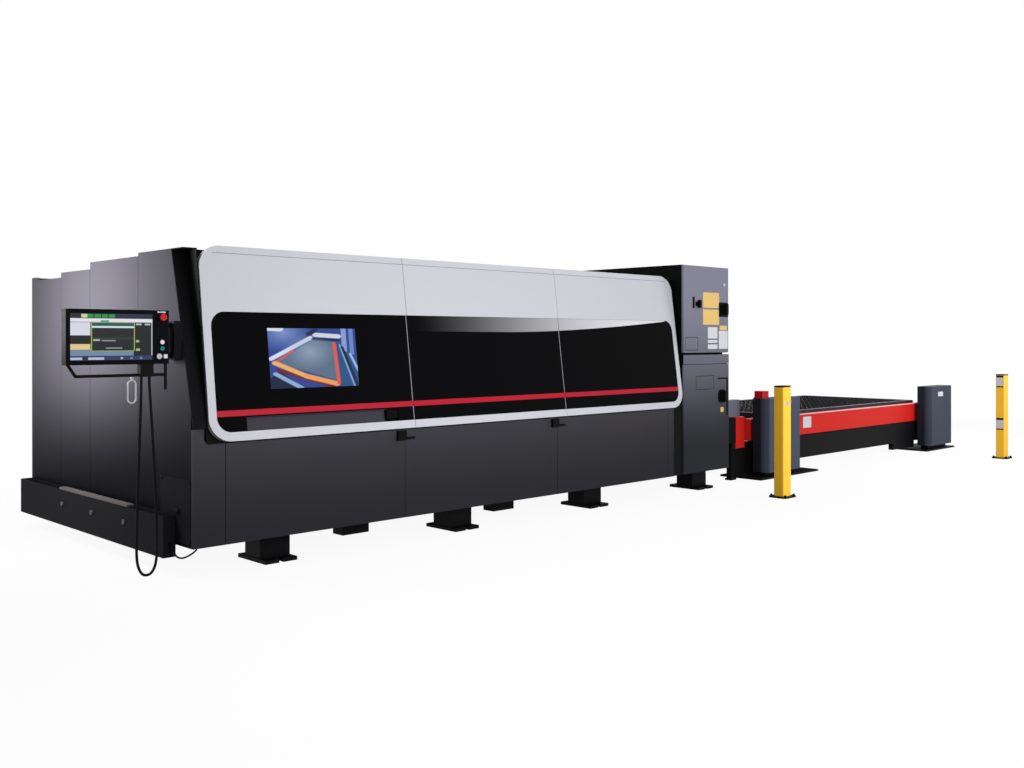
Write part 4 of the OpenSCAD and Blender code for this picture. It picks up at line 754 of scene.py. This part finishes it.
def tray_picture(u, v):
    """A tray with lit edges on a blue ground: bars and outlines laid over each other."""
    c = np.zeros((len(u), 3)) + np.array([44, 72, 150])
    c = lay(c, np.clip(1 - 3.0 * np.hypot(u - 0.17, v - 0.92), 0, 1) * 0.6, (190, 210, 250))
    c = lay(c, convex(u, v, [(0, 0), (0.34, 0), (0.1, 0.3), (0, 0.16)]), (16, 34, 66))
    c = lay(c, bar(u, v, (0.06, 0.24), (0.33, 0.0), 0.06), (150, 180, 225))
    c = lay(c, convex(u, v, [(0.78, 0), (1, 0), (1, 0.5), (0.78, 0.9)]), (40, 84, 140))
    c = lay(c, field(u, v, 0.83, 0.6, 0.89, 1.0), (140, 165, 225))
    c = lay(c, field(u, v, 0.92, 0.55, 0.97, 1.0), (110, 140, 210))
    c = lay(c, bar(u, v, (0.8, 0.72), (0.95, 0.0), 0.018), (150, 185, 235))
    c = lay(c, bar(u, v, (0.83, 0.68), (0.99, 0.0), 0.03), (14, 32, 62))
    c = lay(c, bar(u, v, (0.92, 0.56), (1.01, 0.26), 0.03), (170, 200, 245))
    c = lay(c, bar(u, v, (0.02, 0.49), (0.47, 0.84), 0.06), (226, 236, 255))
    c = lay(c, bar(u, v, (0.53, 0.89), (0.79, 0.865), 0.075), (222, 228, 240))
    c = lay(c, bar(u, v, (0.5, 0.83), (0.8, 0.8), 0.03), (20, 28, 52))
    c = lay(c, bar(u, v, (0.45, 0.9), (0.53, 0.97), 0.06), (30, 40, 80))
    c = lay(c, bar(u, v, (0.0, 1.0), (0.13, 0.99), 0.09), (225, 235, 250))
    c = lay(c, convex(u, v, [(0.07, 0.42), (0.76, 0.1), (0.745, 0.77), (0.48, 0.8)]), (96, 118, 146))
    c = lay(c, np.clip(0.75 - 2.6 * np.hypot(u - 0.45, (v - 0.6) * 0.9), 0, 1), (165, 185, 205))
    c = lay(c, bar(u, v, (0.1, 0.3), (0.7, 0.0), 0.05), (120, 30, 50))
    c = lay(c, bar(u, v, (0.06, 0.43), (0.26, 0.62), 0.035), (224, 96, 96))
    c = lay(c, bar(u, v, (0.06, 0.42), (0.4, 0.19), 0.07), (250, 184, 110))
    c = lay(c, bar(u, v, (0.4, 0.19), (0.74, 0.05), 0.08), (250, 170, 96))
    c = lay(c, bar(u, v, (0.74, 0.74), (0.765, 0.06), 0.045), (230, 96, 80))
    return c


def control_picture(u, v):
    """Plain fields of an operator's screen: bars, a list, a dark view with a bright edge, a row of keys."""
    c = np.zeros((len(u), 3)) + np.array([14, 17, 22])
    layout = [
        (0.0, 0.9, 1.0, 1.0, (28, 38, 66)), (0.02, 0.915, 0.11, 0.985, (14, 20, 36)),
        (0.13, 0.915, 0.53, 0.985, (44, 150, 62)), (0.13, 0.915, 0.2, 0.985, (210, 226, 160)),
        (0.27, 0.915, 0.285, 0.985, (20, 40, 30)), (0.36, 0.915, 0.375, 0.985, (20, 40, 30)),
        (0.44, 0.915, 0.455, 0.985, (20, 40, 30)), (0.0, 0.82, 1.0, 0.895, (238, 238, 246)),
        (0.36, 0.82, 0.46, 0.86, (70, 180, 160)), (0.0, 0.53, 0.235, 0.81, (226, 228, 244)),
        (0.0, 0.35, 0.235, 0.525, (10, 10, 12)), (0.0, 0.235, 0.235, 0.345, (238, 206, 150)),
        (0.0, 0.1, 0.76, 0.23, (116, 142, 170)), (0.245, 0.195, 0.775, 0.815, (182, 200, 70)),
        (0.252, 0.205, 0.768, 0.805, (16, 20, 24)), (0.252, 0.74, 0.768, 0.805, (34, 84, 84)),
        (0.252, 0.695, 0.768, 0.735, (206, 240, 234)), (0.252, 0.45, 0.768, 0.49, (44, 50, 54)),
        (0.27, 0.42, 0.35, 0.45, (190, 196, 206)), (0.37, 0.41, 0.54, 0.435, (150, 156, 160)),
        (0.42, 0.245, 0.62, 0.275, (150, 156, 150)), (0.79, 0.76, 0.86, 0.79, (200, 204, 210)),
        (0.9, 0.76, 0.97, 0.79, (200, 204, 210)), (0.79, 0.38, 0.83, 0.43, (180, 190, 150)),
        (0.79, 0.2, 0.84, 0.25, (180, 190, 150)), (0.985, 0.1, 1.0, 0.82, (200, 205, 215)),
        (0.0, 0.0, 1.0, 0.095, (44, 54, 96)), (0.0, 0.01, 0.4, 0.06, (190, 204, 230)),
        (0.14, 0.01, 0.21, 0.085, (24, 30, 60)), (0.6, 0.025, 0.63, 0.065, (170, 190, 220)),
        (0.72, 0.025, 0.75, 0.065, (120, 140, 180)), (0.84, 0.025, 0.87, 0.065, (120, 140, 180)),
    ]
    for u0, v0, u1, v1, new in layout:
        c = lay(c, field(u, v, u0, v0, u1, v1), new)
    return c


print("pictures", tray_picture.__name__, control_picture.__name__)

# %% Screens in place
COVER_OUT, COVER_Z, COVER_LEAN = 30, 821, math.radians(7.56)
SCREEN_LIFT = 0.4
TRAY_X, TRAY_V, TRAY_BEHIND = (540, 1219), (312, 701), 5
CONTROL_X, CONTROL_Z, CONTROL_Y = (-680, -203), (1324, 1590), 106
TRAY_GRID, CONTROL_GRID = (220, 130), (200, 120)


def on_cover(x, v, out):
    """Point on the leaned front cover: along the front, up its face and out of it, in mm."""
    y = -COVER_OUT + v * math.sin(COVER_LEAN) - out * math.cos(COVER_LEAN)
    z = COVER_Z + v * math.cos(COVER_LEAN) + out * math.sin(COVER_LEAN)
    return at(x, y, z)


def on_panel(x, z):
    """Point just in front of the operator panel's screen."""
    return at(x, CONTROL_Y - SCREEN_LIFT, z)


tray_out = SCREEN_LIFT - TRAY_BEHIND
tray_corner = on_cover(TRAY_X[0], TRAY_V[0], tray_out)
screen_grid("tray_view", tray_corner, on_cover(TRAY_X[1], TRAY_V[0], tray_out) - tray_corner,
            on_cover(TRAY_X[0], TRAY_V[1], tray_out) - tray_corner, tray_picture, "door", *TRAY_GRID)
control_corner = on_panel(CONTROL_X[0], CONTROL_Z[0])
screen_grid("control_view", control_corner, on_panel(CONTROL_X[1], CONTROL_Z[0]) - control_corner,
            on_panel(CONTROL_X[0], CONTROL_Z[1]) - control_corner, control_picture, "panel", *CONTROL_GRID)
print("two screens")

# %% [markdown]
# ## Edges on the front cover
# Where two windows meet, the cut edge of the plate catches the light as a fine pale line, and the cover's
# upper band is folded back along a crease, where it lies in shade. Both could be modelled as steps in the
# solids. They are about as fine as a pixel of the picture, so thin slabs on the leaned face paint them: a
# pale slab is the painted highlight on the cut edge, a grey one the painted shade along the crease.

# %% Cover edges
TO_COVER = ((1, 0, 0), (0, math.sin(COVER_LEAN), math.cos(COVER_LEAN)))
COVER_X, SECTION_W, SEAM, SECTIONS = 95, 1581.7, 4, 3
WINDOW_V, WINDOW_BEHIND = (57, 799), 4
CREASE_V, CREASE_W, CREASE_T, CREASE_IN = 1167, 4, 0.3, 90
EDGE_HIGHLIGHT_W, EDGE_HIGHLIGHT_T = 6, 0.6
FINE_BEVEL = 0.2


def cover_slab(x0, x1, v0, v1, out, thick):
    """Slab on the leaned cover between two sides and two distances up its face."""
    middle = on_cover((x0 + x1) / 2, (v0 + v1) / 2, out)
    return slab(middle, *TO_COVER, x1 - x0, v1 - v0, thick, 1, FINE_BEVEL)


# Painted highlight: pale slabs on the windows' cut edges. Painted shade: grey slabs along the crease.
edge_highlight = paint("edge_highlight", (150, 150, 157), roughness=0.4, grain=0.03)
crease_shade = paint("crease_shade", (138, 138, 148), roughness=0.5, grain=0.02)
for k, body in enumerate(("door", "machine", "machine")):
    x0 = COVER_X + k * SECTION_W + SEAM / 2
    x1 = COVER_X + (k + 1) * SECTION_W - SEAM / 2
    if k < SECTIONS - 1:
        from_rings(f"window_edge_highlight_{k + 1}", [cover_slab(x1 - EDGE_HIGHLIGHT_W, x1, *WINDOW_V, -WINDOW_BEHIND, EDGE_HIGHLIGHT_T)],
                   edge_highlight, body)
    crease_x0 = x0 + CREASE_IN * (k == 0)
    crease_x1 = x1 - CREASE_IN * (k == SECTIONS - 1)
    crease = cover_slab(crease_x0, crease_x1, CREASE_V, CREASE_V + CREASE_W, 0, CREASE_T)
    from_rings(f"crease_{k + 1}", [crease], crease_shade, body)
print("edges on", SECTIONS, "cover sections")

# %% [markdown]
# ## Studio
# The photograph's background is plain white. The floor and the world are white to the camera and to
# reflections. The light on the object comes from the world at a low level and from soft lamps around and
# above it. Two of them aren't mirrored in the gloss, so that the windows stay black, and one shines only on
# the posts and the pillars.

# %% World
AMBIENT, AMBIENT_TINT = 0.17, (0.96, 0.97, 1.0, 1)
WHITE = (1, 1, 1, 1)


def white_to_view(tree, output, plain, white):
    """Shows a white shader to camera, glossy and transmission rays, and a plain one to all other rays."""
    path = add_node(tree, "ShaderNodeLightPath", {})
    seen = add_node(tree, "ShaderNodeMath", {
        0: path.outputs["Is Camera Ray"], 1: path.outputs["Is Glossy Ray"]}, operation="MAXIMUM")
    either = add_node(tree, "ShaderNodeMath", {
        0: seen.outputs[0], 1: path.outputs["Is Transmission Ray"]}, operation="MAXIMUM")
    mix = add_node(tree, "ShaderNodeMixShader", {
        0: either.outputs[0], 1: plain.outputs[0], 2: white.outputs[0]})
    wire(tree, tree.nodes[output], {"Surface": mix.outputs[0]})


world = bpy.data.worlds.new("studio")
bpy.context.scene.world = world
world.use_nodes = True
sky = world.node_tree
ambient = wire(sky, sky.nodes["Background"], {"Color": AMBIENT_TINT, "Strength": AMBIENT})
backdrop = add_node(sky, "ShaderNodeBackground", {"Color": WHITE, "Strength": 1.0})
white_to_view(sky, "World Output", ambient, backdrop)
print("world with ambient light of", AMBIENT)

# %% [markdown]
# The floor glows white and takes a small share of the lamps' light, so a faint shadow stays under the
# machine. A plain white floor would show the lamps' pools of light instead. The share fades with the
# distance from the middle, measured with the machine's length squeezed.

# %% Floor
FLOOR_HALF = 60.0
FLOOR_DIM, FLOOR_LIT = (0.2, 0.2, 0.2, 1), (0.9, 0.9, 0.9, 1)
SHADOW_SHARE = 0.07
SHADOW_NEAR, SHADOW_FAR = 3.0, 6.0
SHADOW_SQUEEZE = (0.45, 1.0, 1.0)

h = FLOOR_HALF
floor_mesh = bpy.data.meshes.new("floor")
floor_mesh.from_pydata([(-h, -h, 0), (h, -h, 0), (h, h, 0), (-h, h, 0)], [], [(0, 1, 2, 3)])
floor = bpy.data.objects.new("floor", floor_mesh)
bpy.context.collection.objects.link(floor)
floor_paint = bpy.data.materials.new("pale_floor")
floor_paint.use_nodes = True
ground = floor_paint.node_tree
dim = wire(ground, ground.nodes["Principled BSDF"], {
    "Base Color": FLOOR_DIM, "Roughness": 1.0, "Specular IOR Level": 0.0})
lit = add_node(ground, "ShaderNodeBsdfDiffuse", {"Color": FLOOR_LIT})
glow = add_node(ground, "ShaderNodeEmission", {"Strength": 1.0})
spot = add_node(ground, "ShaderNodeTexCoord", {})
squeeze = add_node(ground, "ShaderNodeVectorMath", {0: spot.outputs["Object"], 1: SHADOW_SQUEEZE},
                   operation="MULTIPLY")
reach = add_node(ground, "ShaderNodeVectorMath", {0: squeeze.outputs[0]}, operation="LENGTH")
share = add_node(ground, "ShaderNodeMapRange", {
    "Value": reach.outputs["Value"], "From Min": SHADOW_NEAR, "From Max": SHADOW_FAR, "To Min": SHADOW_SHARE,
    "To Max": 0.0})
soft_shadow = add_node(ground, "ShaderNodeMixShader", {
    0: share.outputs["Result"], 1: glow.outputs[0], 2: lit.outputs[0]})
white_to_view(ground, "Material Output", dim, soft_shadow)
floor.data.materials.append(floor_paint)
print("floor", 2 * FLOOR_HALF, "m wide")

# %% [markdown]
# The lamps are wide rectangles, as soft boxes in a studio are. A sun lamp would be simpler, but it gives hard
# shadows and no soft change of tone along the panels. Each row has a lamp's place and aim in millimetres, its
# long and short side in metres and its power in watts.

# %% Lamps
LAMPS = {
    "front_lamp": ((2500, -4500, 1700), (2500, 0, 1200), 6.0, 1.6, 150),
    "corner_lamp": ((500, -3500, 1900), (2500, 0, 1200), 4.0, 1.6, 42),
    "left_bank": ((-1100, 1500, 1750), (0, 1500, 1500), 1.0, 0.8, 46),
    "table_lamp": ((10500, -3500, 3000), (8800, 300, 500), 4.0, 1.5, 170),
    "rear_bank": ((5200, 4200, 3150), (5200, 2600, 900), 11.0, 0.8, 150),
    "right_bank": ((12300, 1300, 2800), (10900, 1300, 600), 2.4, 0.7, 70),
    "top_lamp": ((5000, 1000, 8000), (5000, 1000, 0), 9.0, 6.0, 250),
    "post_lamp": ((7000, -3700, 1400), (7200, -690, 600), 2.6, 1.2, 92),
}
NOT_MIRRORED = ("front_lamp", "table_lamp")
POST_LAMP_ON = ("safety_posts", "pillar_covers")


def soft_lamp(name, place, aim, long, short, power):
    """Rectangular lamp at a place, long side level, turned to shine at a point. Only its light is seen."""
    lamp = bpy.data.lights.new(name, "AREA")
    lamp.shape = "RECTANGLE"
    lamp.size = long
    lamp.size_y = short
    lamp.energy = power
    holder = bpy.data.objects.new(name, lamp)
    bpy.context.collection.objects.link(holder)
    way = aim - place
    yaw = math.atan2(way[1], way[0])
    dip = math.atan2(-way[2], math.hypot(way[0], way[1]))
    holder.location = place
    holder.rotation_euler = (math.radians(90) - dip, 0, yaw - math.radians(90))
    holder.visible_camera = False
    return holder


lamps = {}
for name, (place, aim, long, short, power) in LAMPS.items():
    lamps[name] = soft_lamp(name, at(*place), at(*aim), long, short, power)
for name in NOT_MIRRORED:
    lamps[name].visible_glossy = False
low_parts = bpy.data.collections.new("low_parts")
for name in POST_LAMP_ON:
    low_parts.objects.link(nodes[name])
lamps["post_lamp"].light_linking.receiver_collection = low_parts
print(len(lamps), "lamps")
